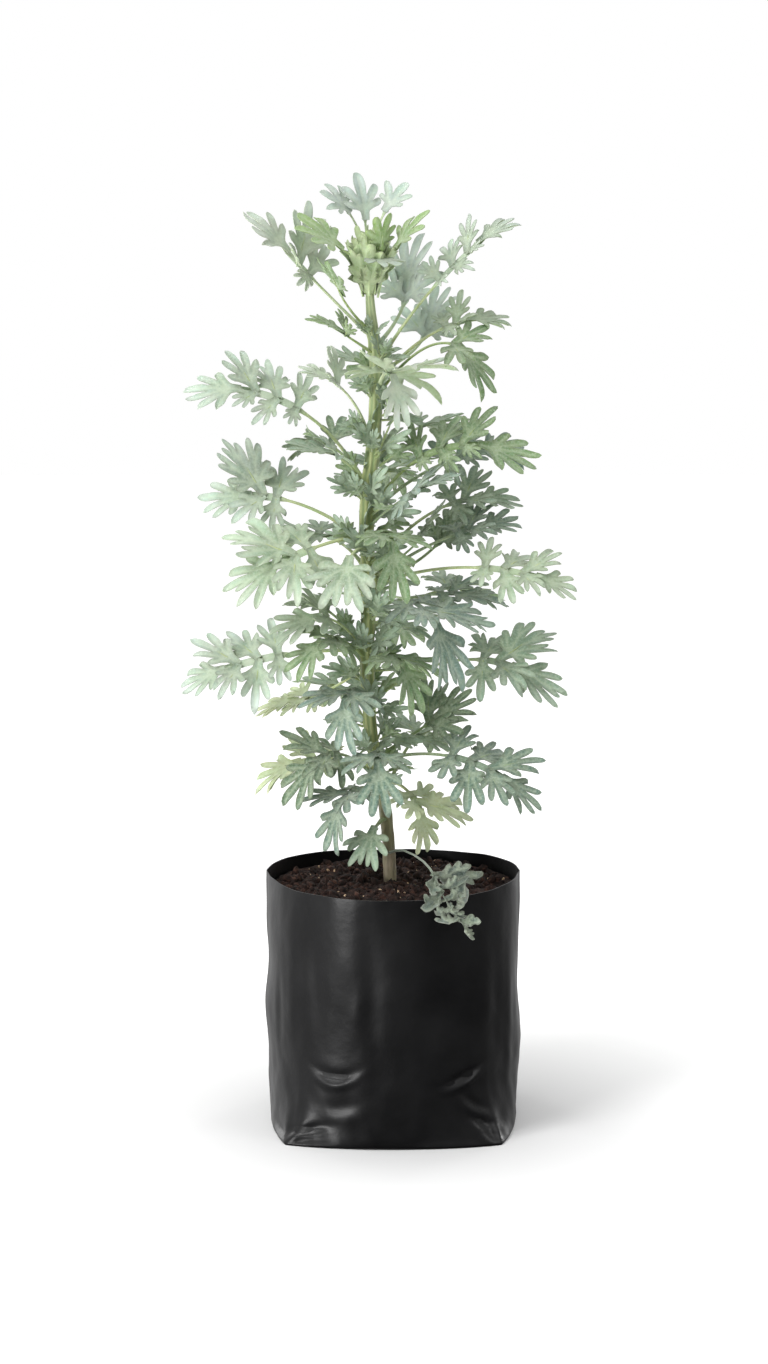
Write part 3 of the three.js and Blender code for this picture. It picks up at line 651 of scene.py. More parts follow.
# How each kind of leaf is cut: its pairs of side divisions (place along the blade, angle, share
# of the reach, lobes, spread and tilt), where its end division starts, and that one's lobes and
# spread.
LEAF_PLANS = {
    "fan3": ([], 0, 3, 80),
    "fan4": ([], 0, 4, 104),
    "one": ([(0.06, 62, 1, 3, 60, 12)], 0.16, 4, 66),
    "two": ([(0.03, 88, 0.8, 3, 60, -12), (0.2, 50, 1, 3, 54, 14)], 0.36, 4, 66),
    "three": (
        [(0.03, 86, 0.75, 3, 52, 12), (0.22, 66, 1, 3, 48, -12), (0.42, 46, 0.9, 3, 44, 12)],
        0.56, 4, 58,
    ),
}
# Upper side, under side and stalk of each kind of leaf colour. They are the leaves' own colours
# with painted light and shade in them. White and silver, used high on the left, are painted
# lighter. Blue, teal and dark, used low, on the right and inside the plant, are painted darker. The
# frost under side and the yellow tone are painted lighter for leaves that hang in shade.
TONES = {
    "white": ((214, 220, 213), (168, 184, 142), (186, 194, 152)),
    "frost": ((192, 205, 200), (206, 216, 211), (172, 184, 146)),
    "silver": ((182, 194, 188), (134, 156, 102), (160, 170, 114)),
    "pale": ((170, 184, 166), (132, 158, 98), (168, 176, 116)),
    "sage": ((132, 154, 136), (105, 134, 80), (144, 156, 97)),
    "blue": ((104, 130, 123), (86, 115, 79), (134, 148, 107)),
    "teal": ((86, 115, 105), (72, 104, 66), (126, 142, 98)),
    "green": ((104, 136, 84), (98, 132, 60), (138, 154, 82)),
    "dark": ((72, 102, 70), (74, 104, 56), (120, 138, 82)),
    "fresh": ((136, 164, 98), (130, 160, 86), (148, 170, 98)),
    "bud": ((196, 208, 168), (192, 207, 156), (184, 198, 142)),
    "yellow": ((200, 207, 166), (176, 190, 124), (184, 190, 128)),
    "dry": ((100, 114, 106), (72, 86, 78), (98, 106, 90)),
}


def steady(seed):
    """The solid part's own repeatable numbers from 0 to 1."""
    state = seed * 7919 + 17
    while True:
        state = state * 16807 % 2147483647
        yield state / 2147483647


def lobes_of(lobes, spread, length, draw):
    """Bearing, reach and rise of each lobe of a division, drawn in the solid leaf's order."""
    apart = math.radians(spread) / (lobes - 1)
    rows = []
    for i in range(lobes):
        side = 2 * i / (lobes - 1) - 1
        angle = math.radians(side * spread / 2) + (next(draw) - 0.5) * 0.16 * apart
        reach = length * (1 - HUB_AT) * (1 - 0.17 * side * side) * (0.95 + 0.1 * next(draw))
        rows.append((angle, reach, (next(draw) - 0.5) * 0.16 * length))
    return rows, apart


# The toes that carry the blade down to its wedge-shaped foot have this number, below zero on
# one side and above it on the other, in place of their lobe's.
FOOT_TOE = 9


def toes_of(rows, apart, length, play, fine=1.0):
    """The pointed round toes that the lobes end in: bearing, reach and own lobe. The lobes of
    a leaf with a low fine are less divided."""
    toes = []
    for k, (angle, reach, _) in enumerate(rows):
        side = 2 * k / (len(rows) - 1) - 1
        arc = reach * apart * fine
        if abs(side) < 0.1 and arc > 16:
            spots = ((-0.32, 0.84), (0.0, 1.0), (0.32, 0.84))
        elif arc > 11.5:
            low_first = side > 0 or (side == 0 and play.random() < 0.5)
            if abs(side) == 1 and play.random() < 0.6:
                low_first = not low_first
            spots = ((-0.24, 0.85), (0.24, 1.0)) if low_first else ((-0.24, 1.0), (0.24, 0.85))
        else:
            spots = ((0.0, 1.0),)
        for off, far in spots:
            bearing = angle + (off + play.uniform(-0.03, 0.03)) * apart
            toes.append((bearing, reach * far * play.uniform(0.95, 1.03), k))
    more = ((0.46, 0.66), (0.86, 0.42)) if len(rows) < 4 and length * fine > 34 else ((0.46, 0.66),)
    for edge, sign in ((0, -1), (-1, 1)):
        bearing, reach, _ = toes[edge]
        for step, far in more:
            far *= play.uniform(0.92, 1.08)
            at = bearing + sign * step * play.uniform(0.92, 1.08)
            toe = (at, max(0.3 * length, reach * far), sign * FOOT_TOE)
            toes.insert(0 if edge == 0 else len(toes), toe)
    return toes


# One side of a toe, from the bottom of its sinus to its tip: share of the way across and up.
TOE_SIDE = ((1.0, 0.0), (0.9, 0.36), (0.67, 0.68), (0.34, 0.92), (0.0, 1.0))
# Where a sinus ends, as a share of the reach: between toes of one lobe, beside the foot's toes
# and between lobes.
TOE_CUT, FOOT_CUT, LOBE_CUT = 0.79, 0.64, 0.5


def margin_of(length, toes, web=0.0):
    """The margin of a division, from one side of its neck round its toes to the other. The
    sinuses are filled up by web, from 0 for the full cut to 1 for none."""
    hub, neck = length * HUB_AT, DIVISION_HALF_BASE + 0.075 * length
    foot = [(-1.4, 2.8), (length * 0.07, 0.5 * (neck + 2.6)), (length * NECK_AT, neck)]
    bends = [(x, -y) for x, y in foot]
    for k, (angle, reach, lobe) in enumerate(toes):
        for side in (-1, 1):
            gap, deep, slim = 0.3, 0.55 * reach, 0
            if 0 <= k + side < len(toes):
                other_angle, other_reach, other_lobe = toes[k + side]
                gap = abs(other_angle - angle) / 2
                cut, slim = (TOE_CUT, 0.02) if lobe == other_lobe else (LOBE_CUT, 0.12)
                if lobe != other_lobe and FOOT_TOE in (abs(lobe), abs(other_lobe)):
                    cut = FOOT_CUT
                deep = (cut + (1 - cut) * web) * min(reach, other_reach)
            shape = TOE_SIDE[1 if k else 0:] if side < 0 else TOE_SIDE[-2::-1]
            for off, rise in shape:
                taper = 1 - slim * 4 * rise * (1 - rise) - 0.5 * slim * rise
                bearing = angle + side * off * gap * taper
                out = deep + (reach - deep) * rise
                bends.append((hub + out * math.cos(bearing), out * math.sin(bearing)))
    bends += reversed(foot)
    line = []
    for k in range(len(bends) - 1):
        around = (bends[min(len(bends) - 1, max(0, k + j))] for j in (-1, 0, 1, 2))
        p0, p1, p2, p3 = (np.array(p) for p in around)
        line.append(p1)
        if np.hypot(*(p2 - p1)) > 3:
            line.append((9 * (p1 + p2) - p0 - p3) / 16)
    line.append(np.array(bends[-1]))
    return np.array(line)


def veins_of(length, rows, toes):
    """Straight lengths of the main veins: the midrib, one to each lobe and one to each toe."""
    hub = length * HUB_AT

    def at(angle, reach, share):
        return hub + share * reach * math.cos(angle), share * reach * math.sin(angle)

    lines = [((0, 0), (hub * 1.6, 0))]
    for angle, reach, _ in rows:
        lines.append(((hub * 0.9, 0), at(angle, reach, 0.45)))
    for angle, reach, lobe in toes:
        own, far, _ = rows[lobe] if abs(lobe) < FOOT_TOE else (0, 0, 0)
        lines.append((at(own, far, 0.45), at(angle, reach, 0.9)))
    return [(np.array(a, float), np.array(b, float)) for a, b in lines]


def from_lines(spots, lines):
    """Distance of each spot from the nearest of some straight lengths."""
    best = np.full(len(spots), 1e9)
    for a, b in lines:
        run = b - a
        share = np.clip(((spots - a) @ run) / (run @ run), 0, 1)
        best = np.minimum(best, np.hypot(*(spots - a - share[:, None] * run).T))
    return best


def inside(spots, line):
    """Which spots lie inside a closed line."""
    odd = np.zeros(len(spots), bool)
    for (ax, ay), (bx, by) in zip(line, np.roll(line, -1, axis=0)):
        if ay != by:
            cross = (ay > spots[:, 1]) != (by > spots[:, 1])
            odd ^= cross & (spots[:, 0] < (bx - ax) * (spots[:, 1] - ay) / (by - ay) + ax)
    return odd


def fill_margin(line, veins):
    """Flat points and triangles that fill a margin, with points along its veins."""
    low, high = line.min(0), line.max(0)
    grid = np.array([
        (x + (MESH_STEP / 2 if row % 2 else 0), y)
        for row, y in enumerate(np.arange(low[1], high[1], MESH_STEP * 0.87))
        for x in np.arange(low[0], high[0], MESH_STEP)
    ])
    grid = grid[inside(grid, line)]
    edges = list(zip(line, np.roll(line, -1, axis=0)))
    grid = grid[from_lines(grid, edges) > 0.9]
    grid = grid[from_lines(grid, veins) > 1.0]
    on_veins = np.array([
        a + (b - a) * share
        for a, b in veins
        for share in np.arange(0.08, 1.0, 2.0 / max(2.0, float(np.hypot(*(b - a)))))
    ])
    on_veins = on_veins[inside(on_veins, line)]
    on_veins = on_veins[from_lines(on_veins, edges) > 0.5]
    kept = []
    for spot in on_veins:
        if all(abs(spot[0] - other[0]) + abs(spot[1] - other[1]) > 0.9 for other in kept):
            kept.append(spot)
    spots = [Vector(p) for p in (*line, *kept, *grid)]
    count = len(line)
    flat, _, faces, _, _, _ = delaunay_2d_cdt(spots, [], [list(range(count))], 1, 1e-4)
    flat = np.array([(p.x, p.y) for p in flat])
    turned = []
    for face in faces:
        for k in range(1, len(face) - 1):
            a, b, c = face[0], face[k], face[k + 1]
            area = np.cross(flat[b] - flat[a], flat[c] - flat[a])
            turned.append((a, b, c) if area > 0 else (a, c, b))
    return flat, turned


def new_skin():
    """An empty leaf: its points and faces, and a tint, vein and edge value for each point."""
    return {"points": [], "faces": [], "tint": [], "vein": [], "edge": []}


def grow_division(skin, axes, length, lobes, spread, draw, tone, play, web=0.0, fine=1.0):
    """Adds one lobed division, as a thin closed sheet, to a leaf."""
    origin, along, across, up = axes
    rows, apart = lobes_of(lobes, spread, length, draw)
    droop = 0.1 + 0.12 * next(draw)
    toes = toes_of(rows, apart, length, play, fine)
    line = margin_of(length, toes, web)
    edges = list(zip(line, np.roll(line, -1, axis=0)))
    veins = veins_of(length, rows, toes)
    flat, triangles = fill_margin(line, veins)
    a, b = flat[:, 0], flat[:, 1]
    hub = length * HUB_AT
    far, bearing = np.hypot(a - hub, b), np.arctan2(b, a - hub)
    off_vein, off_edge = from_lines(flat, veins), from_lines(flat, edges)

    # The blade droops, its lobes rise or sink, its toes curl, and it is raised between veins.
    height = -droop * length * (a / length) ** 2 + 0.12 * np.abs(b)
    for angle, reach, rise in rows:
        near = np.exp(-(((bearing - angle) / (0.42 * apart)) ** 2))
        height += rise * near * (far / reach) ** 2
    for angle, reach, _ in toes:
        curl = play.uniform(-0.1, 0.05) * length
        near = np.exp(-(((bearing - angle) / (0.24 * apart)) ** 2))
        height += curl * near * (far / reach) ** 5
    height += 0.42 * np.minimum(off_vein, 2.4)
    wave = [noise.noise(Vector((x / 9, y / 9, length + origin.z))) for x, y in flat]
    height += 0.9 * np.array(wave) * np.clip(far / 18, 0, 1)

    # Greener towards the foot, more silver towards the tips. The green and silver are the leaf's
    # own colour; the darkening of both sides towards the foot is painted shade.
    upper, under = np.array(tone[0][:3]), np.array(tone[1][:3])
    silver = np.clip((far / length - 0.25) / 0.45, 0, 1)[:, None]
    shade = play.uniform(0.88, 1.08)
    # The foot's colour is darker than either side's colour: painted shade.
    foot = upper * 0.47 + under * 0.29
    top_tint = [(*c, 1.0) for c in (foot + (upper * 1.06 - foot) * silver) * shade]
    under_tint = [(*c, 1.0) for c in under * (0.9 + 0.16 * silver) * shade]

    # The upper side, then the under side, which its veins stand out of.
    first = len(skin["points"])
    count = len(flat)
    facing = along.cross(across).dot(up) > 0
    stand_out = 0.3 * np.exp(-((off_vein / 0.9) ** 2)) * np.clip(1.2 - far / length, 0.2, 1)
    for z, tint in (
        (height + BLADE_HALF, top_tint),
        (height - (BLADE_HALF + stand_out), under_tint),
    ):
        for k in range(count):
            skin["points"].append(origin + along * a[k] + across * b[k] + up * z[k])
        skin["tint"] += tint
        skin["vein"] += list(np.exp(-((off_vein / 0.75) ** 2)))
        skin["edge"] += list(np.exp(-off_edge / 0.5))
    top = triangles if facing else [(i, k, j) for i, j, k in triangles]
    once = set()
    for i, j, k in top:
        skin["faces"].append((first + i, first + j, first + k))
        skin["faces"].append((first + count + k, first + count + j, first + count + i))
        once |= {(i, j), (j, k), (k, i)}
    for i, j in once:
        if (j, i) not in once:
            u, v = first + i, first + j
            skin["faces"].append((u, u + count, v + count, v))


def grow_stalk(skin, path, sizes, over, tints, sides=10):
    """Adds a tapered stalk or midrib along a path, flat and channelled on its upper side."""
    rings, veins, colours = [], [], []
    for k, middle in enumerate(path):
        tangent = (path[min(k + 1, len(path) - 1)] - path[max(k - 1, 0)]).normalized()
        right = tangent.cross(over[k]).normalized()
        up = right.cross(tangent).normalized()
        wide, deep = sizes[k]
        ring = []
        for i in range(sides):
            angle = 2 * math.pi * i / sides
            s, t = math.cos(angle), math.sin(angle)
            groove = 0.45 * max(0.0, t) * math.exp(-((s / 0.5) ** 2))
            rise = deep * (t * (0.75 if t > 0 else 1) - groove)
            ring.append(middle - right * (wide * s) + up * rise)
            veins.append(0.9 * math.exp(-((s / 0.35) ** 2)))
            colours.append(tints[min(k, len(tints) - 1)])
        rings.append(ring)
    points, faces = ring_skin(rings)
    first = len(skin["points"])
    skin["points"] += [Vector(p) for p in points]
    skin["faces"] += [tuple(first + i for i in face) for face in faces]
    skin["tint"] += colours + [tints[0], tints[-1]]
    skin["vein"] += veins + [0.3, 0.3]
    skin["edge"] += [0.0] * len(points)


def grow_leaf(row, start, seed, root=None, thick=1.0, fine=1.0):
    """A whole leaf: stalk, midrib and divisions, placed just as the solid leaf is."""
    _, elbow, end, plan, reach, roll, lift, tone_name = row
    pairs, tip, end_lobes, end_spread = LEAF_PLANS[plan]
    play = random.Random(seed)
    fade = play.uniform(0.94, 1.06)
    tone = [(*(c * fade for c in srgb(*colour)[:3]), 1.0) for colour in TONES[tone_name]]
    draw = steady(seed)
    elbow, end = Vector(elbow), Vector(end)
    near, beyond = (elbow - start).length, (end - elbow).length
    bend_at = near / (near + beyond)
    control = elbow - start * (1 - bend_at) ** 2 - end * bend_at**2
    control = control / (2 * bend_at * (1 - bend_at))
    away = Vector((end.x - start.x, end.y - start.y, 0)).normalized()
    roll = math.radians(roll)

    def point_at(t):
        return start * (1 - t) ** 2 + control * (2 * t * (1 - t)) + end * t**2

    def frame_at(t):
        tangent = ((control - start) * (1 - t) + (end - control) * t).normalized()
        level = away.cross(Vector((0, 0, 1)))
        level = (level - tangent * level.dot(tangent)).normalized()
        face = level.cross(tangent)
        right = level * math.cos(roll) + face * math.sin(roll)
        normal = face * math.cos(roll) - level * math.sin(roll)
        return point_at(t), tangent, right, normal

    skin = new_skin()
    walk = [point_at(k / 200) for k in range(201)]
    length = sum((q - p).length for p, q in zip(walk, walk[1:]))
    base_step = DIVISION_HALF_BASE / length
    neck_at = bend_at + tip * (1 - bend_at)

    for place, angle, share, lobes, spread, tilt in pairs:
        centre = bend_at + place * (1 - bend_at)
        point, tangent, right, normal = frame_at(centre - base_step)
        far_point, _, far_right, _ = frame_at(centre + base_step)
        for side in (1, -1):
            reach_here = SIDE_REACH * share * reach[0 if side == 1 else 1]
            origin = point + right * side * STALK_HALF_WIDTH
            origin = (origin + far_point + far_right * side * STALK_HALF_WIDTH) / 2
            turn = math.radians(angle + (next(draw) - 0.5) * 10)
            rise = math.radians(lift + tilt + (next(draw) - 0.5) * 8)
            outward = tangent * math.cos(turn) + right * (side * math.sin(turn))
            across = -tangent * math.sin(turn) + right * (side * math.cos(turn))
            along = outward * math.cos(rise) + normal * math.sin(rise)
            up = normal * math.cos(rise) - outward * math.sin(rise)
            axes = (origin, along, across, up)
            grow_division(skin, axes, reach_here, lobes, spread, draw, tone, play, fine=fine)
            places = (-0.08, 0.1, 0.25, 0.42)
            midrib = [origin + along * (s * reach_here) - up * 0.25 for s in places]
            widths = [(1.0, 0.75), (0.8, 0.65), (0.55, 0.5), (0.15, 0.2)]
            grow_stalk(skin, midrib, widths, [up] * 4, [tone[2]], 8)

    neck_point, _, neck_right, _ = frame_at(neck_at)
    along = end - neck_point
    tip_length = along.length
    along.normalize()
    across = (neck_right - along * neck_right.dot(along)).normalized()
    up = across.cross(along)
    axes = (neck_point, along, across, up)
    grow_division(skin, axes, tip_length, end_lobes, end_spread, draw, tone, play, fine=fine)

    # The stalk and midrib: flared at the foot, thinner further out, and winged at the blade.
    steps = 18
    path, over, sizes, tints = [], [], [], []
    if root is not None:
        path.append(root)
        over.append(frame_at(0)[3])
        sizes.append((3.0 * thick, 2.1 * thick))
        tints.append(tone[2])
    for k in range(steps + 1):
        t = neck_at * k / steps
        point, _, _, normal = frame_at(t)
        path.append(point - normal * 0.3)
        over.append(normal)
        flare = math.exp(-t * length / 9)
        slim = 1 - 0.3 * k / steps
        wing = min(1.0, max(0.0, (t / bend_at - 0.93) / 0.07))
        sizes.append((
            (1.5 * slim + 1.1 * flare + 2.4 * wing) * thick,
            (1.3 * slim + 0.4 * flare) * (1 - 0.5 * wing) * thick,
        ))
        tints.append(tuple(a + (b - a) * 0.6 * wing for a, b in zip(tone[2], tone[0])))
    for share, wide in ((0.14, 0.9), (0.3, 0.6), (0.5, 0.2)):
        on = share * tip_length
        path.append(neck_point + along * on - up * (0.3 + 0.06 * on))
        over.append(up)
        sizes.append((wide, 0.6 * wide))
        tints.append(tone[2])
    grow_stalk(skin, path, sizes, over, tints)
    return skin


def leaf_finish(name, felt, roughness):
    """Felted leaf skin: its own colour, a haze of fine pale hairs, pale veins and a dry edge."""
    material, tree, shader = finish_of(
        name, Roughness=roughness, Sheen_Weight=0.25, Sheen_Roughness=0.6, Specular_IOR_Level=0.35
    )
    at = put(tree, "ShaderNodeTexCoord").outputs["Object"]
    tint = put(tree, "ShaderNodeAttribute", attribute_name="tint").outputs["Color"]
    vein = put(tree, "ShaderNodeAttribute", attribute_name="vein").outputs["Fac"]
    edge = put(tree, "ShaderNodeAttribute", attribute_name="edge").outputs["Fac"]
    hairs = noisy(tree, at, 620.0, 3.0, 0.7)
    deep = ranged(tree, noisy(tree, at, 75.0, 3.0, 0.6), 0.35, 0.65, 0.55, 0.0)
    colour = mixed(tree, deep, tint, (0.62, 0.85, 0.66, 1), blend_type="MULTIPLY")
    haze = ranged(tree, hairs, 0.42, 0.72, 0.0, felt)
    for share, paint in (
        (haze, srgb(222, 238, 228)),
        (maths(tree, "MULTIPLY", vein, 0.3), srgb(204, 214, 184)),
        (maths(tree, "MULTIPLY", edge, 0.3), srgb(132, 128, 100)),
    ):
        colour = mixed(tree, share, colour, paint)
    tree.links.new(colour, shader.inputs["Base Color"])
    grained(tree, shader, hairs, 0.4, 0.0004)
    return material


leaf_look = leaf_finish("felted_leaf", 0.24, 0.72)


def skin_mesh(name, skin, material):
    """Makes the mesh of a leaf."""
    return mesh_piece(
        name, skin["points"], skin["faces"], [material],
        floats={"vein": skin["vein"], "edge": skin["edge"]}, colours={"tint": skin["tint"]},
    )


def leaf_piece(name, skin, material, node):
    """Makes the mesh of a leaf and hides the solid that it stands for."""
    piece = skin_mesh(name, skin, material)
    smooth(piece, 70)
    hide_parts(node)
    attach(piece, "root")


for index, row in enumerate(LEAVES):
    middle, radius = stem_at(row[0])
    outward = Vector((row[1][0] - middle.x, row[1][1] - middle.y, 0)).normalized()
    start = middle + outward * (radius + STALK_GAP + STALK_HALF)
    root = stem_middle(row[0] - 1.5)[0] + outward * (radius - ROOT_DEPTH)
    fine = UPPER_FINE if index < UPPER_LEAVES else LOWER_FINE
    skin = grow_leaf(row, start, index + 1, root, fine=fine)
    leaf_piece(f"foliage_{index + 1:02d}", skin, leaf_look, f"leaf_{index + 1:02d}")


# Top shoot: a closed bud of small upright leaves wrapped round each other at the stem's tip,
# with seven young leaves opening out of it. All of it grows from one point.
BUD_LEAF_LENGTH, YOUNG_FINE = 43.0, 0.45
YOUNG_LEAVES = [
    (0, (-21, 8, 682), (-26, 14, 716), "fan3", (0, 0), 0, 0, "frost"),
    (0, (-33, 4, 687), (-51, -2, 706), "fan4", (0, 0), 40, 0, "frost"),
    (0, (-6, 8, 688), (10, 14, 710), "fan3", (0, 0), -40, 0, "frost"),
    (0, (-8, -11, 660), (-10, -15, 686), "fan4", (0, 0), -10, 0, "fresh"),
    (0, (2, -10, 660), (22, -16, 691), "fan3", (0, 0), -40, 0, "fresh"),
    (0, (-38, -16, 660), (-70, -26, 686), "fan4", (0, 0), 40, 0, "fresh"),
    (0, (-14, -12, 652), (0, -38, 649), "fan4", (0, 0), 0, 0, "silver"),
]


def small_leaf(name, length, foot, lobes, spread, tone_name, seed, web=0.0):
    """A small upright leaf on a stalk as long as foot, that curls over its own upper side."""
    skin = new_skin()
    tone = [srgb(*colour) for colour in TONES[tone_name]]
    axes = (Vector((0, 0, foot)), Vector((0, 0, 1)), Vector((1, 0, 0)), Vector((0, 1, 0)))
    grow_division(skin, axes, length, lobes, spread, steady(seed), tone, random.Random(seed), web)
    places = (-0.06, 0.1, 0.3, 0.5)
    rib = [Vector((0, -0.02 * s * s * length - 0.3, foot + s * length)) for s in places]
    widths = [(1.2, 1.0), (0.9, 0.8), (0.6, 0.5), (0.15, 0.2)]
    if foot:
        rib.insert(0, Vector((0, -0.3, 0)))
        widths.insert(0, (1.3, 1.1))
    grow_stalk(skin, rib, widths, [Vector((0, 1, 0))] * len(rib), [tone[2]], 8)
    return skin_mesh(name, skin, leaf_look)


spiral, given = shape_tree(
    "leaf_spiral",
    [("Leaf", "Object"), ("Leaves", "Int"), ("Height", "Float"), ("Base Radius", "Float"),
     ("Tip Radius", "Float"), ("Base Lean", "Float"), ("Tip Lean", "Float"), ("Base Size", "Float"),
     ("Tip Size", "Float"), ("Seed", "Int"), ("Finish", "Material")],
)
GOLDEN_ANGLE = 2.39996
number = put(spiral, "GeometryNodeInputIndex").outputs[0]
share = maths(spiral, "DIVIDE", number, maths(spiral, "SUBTRACT", given["Leaves"], 1.0))


def between(quantity):
    """A value that runs from the lowest leaf's to the topmost leaf's."""
    return ranged(spiral, share, 0.0, 1.0, given["Base " + quantity], given["Tip " + quantity])


def random_of(low, high):
    """A random value for each leaf."""
    inputs = {2: low, 3: high, "Seed": given["Seed"]}
    return put(spiral, "FunctionNodeRandomValue", inputs, data_type="FLOAT").outputs[1]


turned = maths(spiral, "MULTIPLY", number, GOLDEN_ANGLE)
bearing = maths(spiral, "ADD", turned, random_of(-0.25, 0.25))
radius = between("Radius")
at = put(spiral, "ShaderNodeCombineXYZ", {
    "X": maths(spiral, "MULTIPLY", maths(spiral, "COSINE", bearing), radius),
    "Y": maths(spiral, "MULTIPLY", maths(spiral, "SINE", bearing), radius),
    "Z": maths(spiral, "MULTIPLY", share, given["Height"]),
}).outputs[0]
pose = put(spiral, "ShaderNodeCombineXYZ", {
    "X": between("Lean"), "Z": maths(spiral, "ADD", bearing, math.pi / 2),
}).outputs[0]
spots = put(spiral, "GeometryNodePoints", {"Count": given["Leaves"], "Position": at}).outputs[0]
leaf_source = put(spiral, "GeometryNodeObjectInfo", {"Object": given["Leaf"]})
copies = put(spiral, "GeometryNodeInstanceOnPoints", {
    "Points": spots,
    "Instance": leaf_source.outputs["Geometry"],
    "Rotation": pose,
    "Scale": maths(spiral, "MULTIPLY", between("Size"), random_of(0.86, 1.12)),
})
end_tree(spiral, copies.outputs[0], given["Finish"])


def join_skin(whole, skin):
    """Adds the points, values and faces of one leaf to another."""
    first = len(whole["points"])
    for key in ("points", "tint", "vein", "edge"):
        whole[key] += skin[key]
    whole["faces"] += [tuple(first + i for i in face) for face in skin["faces"]]


young_source = small_leaf("bud_leaf_form", BUD_LEAF_LENGTH, 0, 3, 46, "bud", 5, web=0.74)
bud = run_tree(
    "bud_leaves", spiral, bpy.data.meshes.new("empty"),
    {"Leaf": young_source, "Leaves": 17, "Height": 8 * MM, "Base Radius": 6.5 * MM,
     "Tip Radius": 1.2 * MM, "Base Lean": 0.26, "Tip Lean": -0.06, "Base Size": 1.04,
     "Tip Size": 0.9, "Seed": 6, "Finish": leaf_look},
)
bud.data.transform(Matrix.Translation(Vector((-18, 0, 627)) * MM))
smooth(bud, 70)
bud_root = Vector((-18, 0, 650))
whole = new_skin()
for k, row in enumerate(YOUNG_LEAVES):
    join_skin(whole, grow_leaf(row, bud_root, 81 + k, thick=0.8, fine=YOUNG_FINE))
leaf_piece("young_leaves", whole, leaf_look, "top_shoot")
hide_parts("top_shoot")
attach(bud, "root")


# Side shoots: small tufts of new leaves in the angle between the stem and a leaf stalk.
# They grow from the stem and are greener than the leaves that they sit above.
tuft_source = small_leaf("tuft_leaf_form", 25.0, 7.0, 3, 76, "sage", 8)
tufts = []
for number, (z, bearing, lean, size) in enumerate([
    (594, -118, 0.5, 0.6), (577, -52, 0.6, 0.75), (563, 130, 0.7, 0.8), (549, -128, 0.6, 0.9),
    (535, -35, 0.8, 0.95), (521, -160, 0.7, 0.85), (509, -88, 0.8, 1.0), (497, 10, 0.8, 1.1),
    (485, 170, 0.7, 1.0), (474, -120, 0.8, 1.0), (462, -50, 0.8, 1.1), (450, 60, 0.7, 1.0),
    (439, -160, 0.8, 1.1), (428, -85, 0.8, 1.05), (416, -20, 0.8, 1.1), (404, -135, 0.8, 1.0),
    (393, 110, 0.7, 1.0), (383, -62, 0.8, 1.1), (370, 178, 0.8, 1.1), (359, -100, 0.8, 1.05),
    (347, -10, 0.8, 1.1), (337, -140, 0.8, 1.0), (325, 80, 0.7, 1.0), (314, -70, 0.8, 1.0),
    (302, 165, 0.8, 1.05), (291, -30, 0.8, 0.95), (281, -115, 0.8, 0.95), (268, 40, 0.7, 0.8),
    (256, -95, 0.7, 0.6),
]):
    tuft = run_tree(
        f"tuft_{number}", spiral, bpy.data.meshes.new("empty"),
        {"Leaf": tuft_source, "Leaves": 4, "Height": 6 * MM, "Base Radius": 1.4 * MM,
         "Tip Radius": 0.4 * MM, "Base Lean": 0.8, "Tip Lean": 0.15, "Base Size": size,
         "Tip Size": size * 0.65, "Seed": number + 1, "Finish": leaf_look},
    )
    middle, radius = stem_middle(z)
    angle = math.radians(bearing)
    outward = Vector((math.cos(angle), math.sin(angle), 0))
    tilt = Matrix.Rotation(lean, 4, Vector((-outward.y, outward.x, 0)))
    foot = (middle + outward * (radius - 0.8)) * MM
    tuft.data.transform(Matrix.Translation(foot) @ tilt)
    tufts.append(tuft)
joined = bmesh.new()
for tuft in tufts:
    joined.from_mesh(tuft.data)
mesh = bpy.data.meshes.new("side_shoots")
joined.to_mesh(mesh)
joined.free()
mesh.materials.append(leaf_look)
shoots = bpy.data.objects.new("side_shoots", mesh)
bpy.context.scene.collection.objects.link(shoots)
for spare in (*tufts, tuft_source, young_source):
    bpy.data.objects.remove(spare)
smooth(shoots, 70)
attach(shoots, "root")


# Withered leaf: an old leaf that has dried, gone grey and curled up, hanging out over the rim.
# It is still held by its limp stalk low on the stem; each of its divisions is a curled scrap.
dry_look = leaf_finish("dried_leaf", 0.2, 0.85)
WITHERED_STALK = [
    (-3, -3, 206), (8, -28, 213), (22, -62, 212), (30, -90, 207), (35, -98, 196), (42, -101, 186),
    (48, -102, 177), (53, -102, 171),
]
# A scrap is rolled up across its length, and along it to a radius WITHERED_BEND times larger.
WITHERED_BEND = 2.6
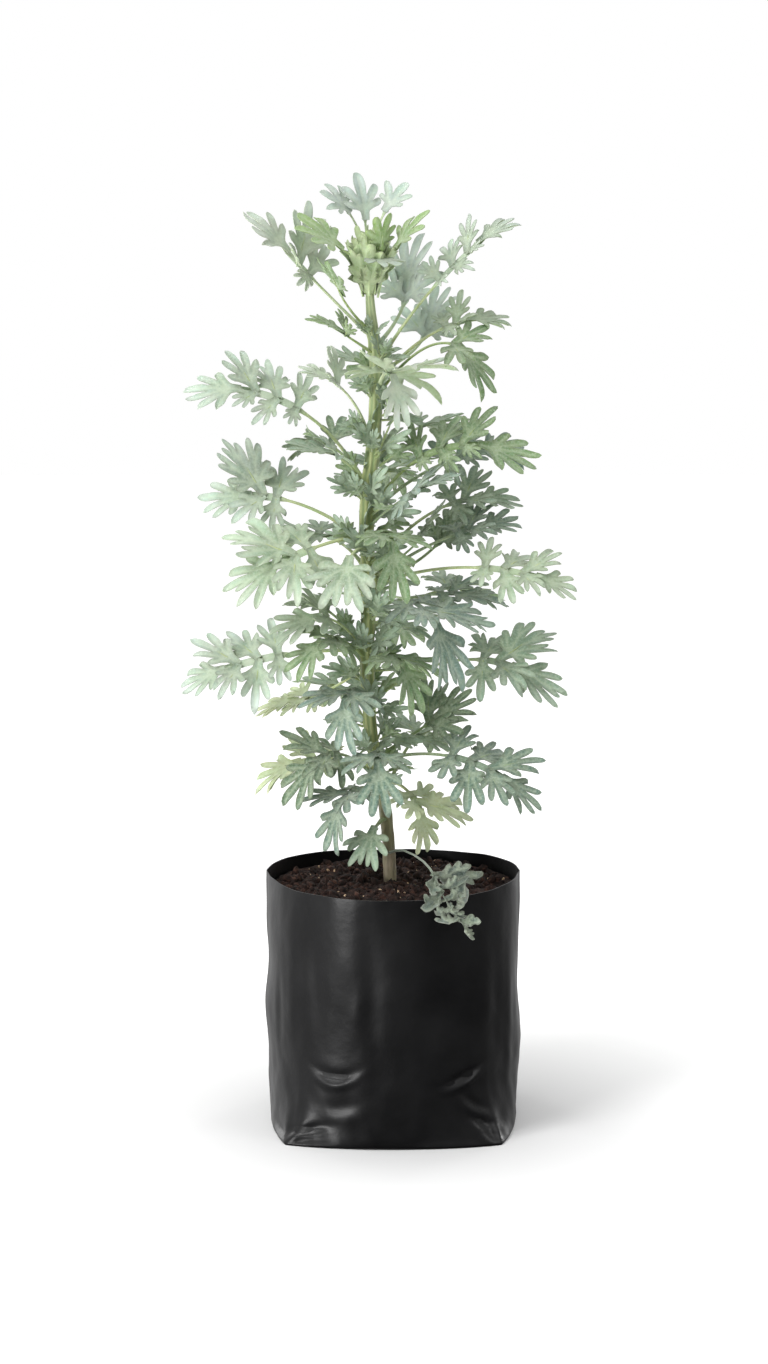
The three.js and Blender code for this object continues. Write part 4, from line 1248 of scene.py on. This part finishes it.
# Each scrap: where it hangs from the stalk, where it points, its length and its rolled radius.
SCRAPS = [
    ((30, -90, 206), (-0.3, -0.3, -0.8), 21, 4.8), ((30, -89, 207), (0.95, 0.1, -0.2), 32, 17.0),
    ((33, -95, 200), (0.9, -0.1, -0.3), 22, 5.0), ((35, -98, 196), (-0.5, -0.1, -0.9), 23, 4.6),
    ((38, -99, 191), (0.9, 0.0, 0.1), 27, 5.0), ((40, -100, 188), (0.1, 0.0, -0.9), 20, 4.4),
    ((42, -101, 186), (-0.5, 0.0, -0.8), 20, 4.2), ((44, -101, 183), (0.9, 0.0, 0.3), 23, 4.6),
    ((47, -102, 178), (-0.6, 0.0, -0.6), 18, 4.0), ((49, -102, 176), (0.8, 0.0, -0.2), 18, 4.0),
    ((52, -102, 172), (0.1, 0.0, -1.0), 12, 3.6),
]
tone = [srgb(*colour) for colour in TONES["dry"]]
skin = new_skin()
path = [Vector(p) for p in WITHERED_STALK]
smooth_path = []
for k in range(len(path) - 1):
    p0, p3 = path[max(0, k - 1)], path[min(len(path) - 1, k + 2)]
    smooth_path += [path[k], (9 * (path[k] + path[k + 1]) - p0 - p3) / 16]
smooth_path.append(path[-1])
widths = [(1.4 - 0.06 * k, 1.1 - 0.045 * k) for k in range(len(smooth_path))]
grow_stalk(skin, smooth_path, widths, [Vector((0.3, 0.2, 1))] * len(smooth_path), [tone[2]])
for k, (at, aim, length, curl) in enumerate(SCRAPS):
    scrap = new_skin()
    axes = (Vector((0, 0, 0)), Vector((1, 0, 0)), Vector((0, 1, 0)), Vector((0, 0, 1)))
    play = random.Random(k + 31)
    grow_division(scrap, axes, length, 3, 64, steady(k + 71), tone, play, web=0.62)
    grow_stalk(
        scrap, [Vector((s * length, 0, -0.4)) for s in (-0.1, 0.1, 0.3, 0.5)],
        [(1.0, 0.8), (0.8, 0.6), (0.5, 0.5), (0.15, 0.2)], [Vector((0, 0, 1))] * 4, [tone[2]], 8,
    )
    twist = Matrix.Rotation(play.uniform(-1.2, 1.2), 3, "X")
    turn = Vector(aim).normalized().to_track_quat("X", "Z").to_matrix() @ twist
    wide = curl * WITHERED_BEND
    for number, (x, y, z) in enumerate(scrap["points"]):
        side, out = y / curl, x / wide
        y, z = (curl - z) * math.sin(side), z + (curl - z) * (1 - math.cos(side))
        x, z = (wide - z) * math.sin(out), z + (wide - z) * (1 - math.cos(out))
        spot = Vector((x, y, z))
        spot += 0.9 * Vector([noise.noise(spot / 3.5 + Vector((9 * j, k, 0))) for j in range(3)])
        scrap["points"][number] = Vector(at) + turn @ spot
    join_skin(skin, scrap)
leaf_piece("dried_leaf", skin, dry_look, "withered_leaf")
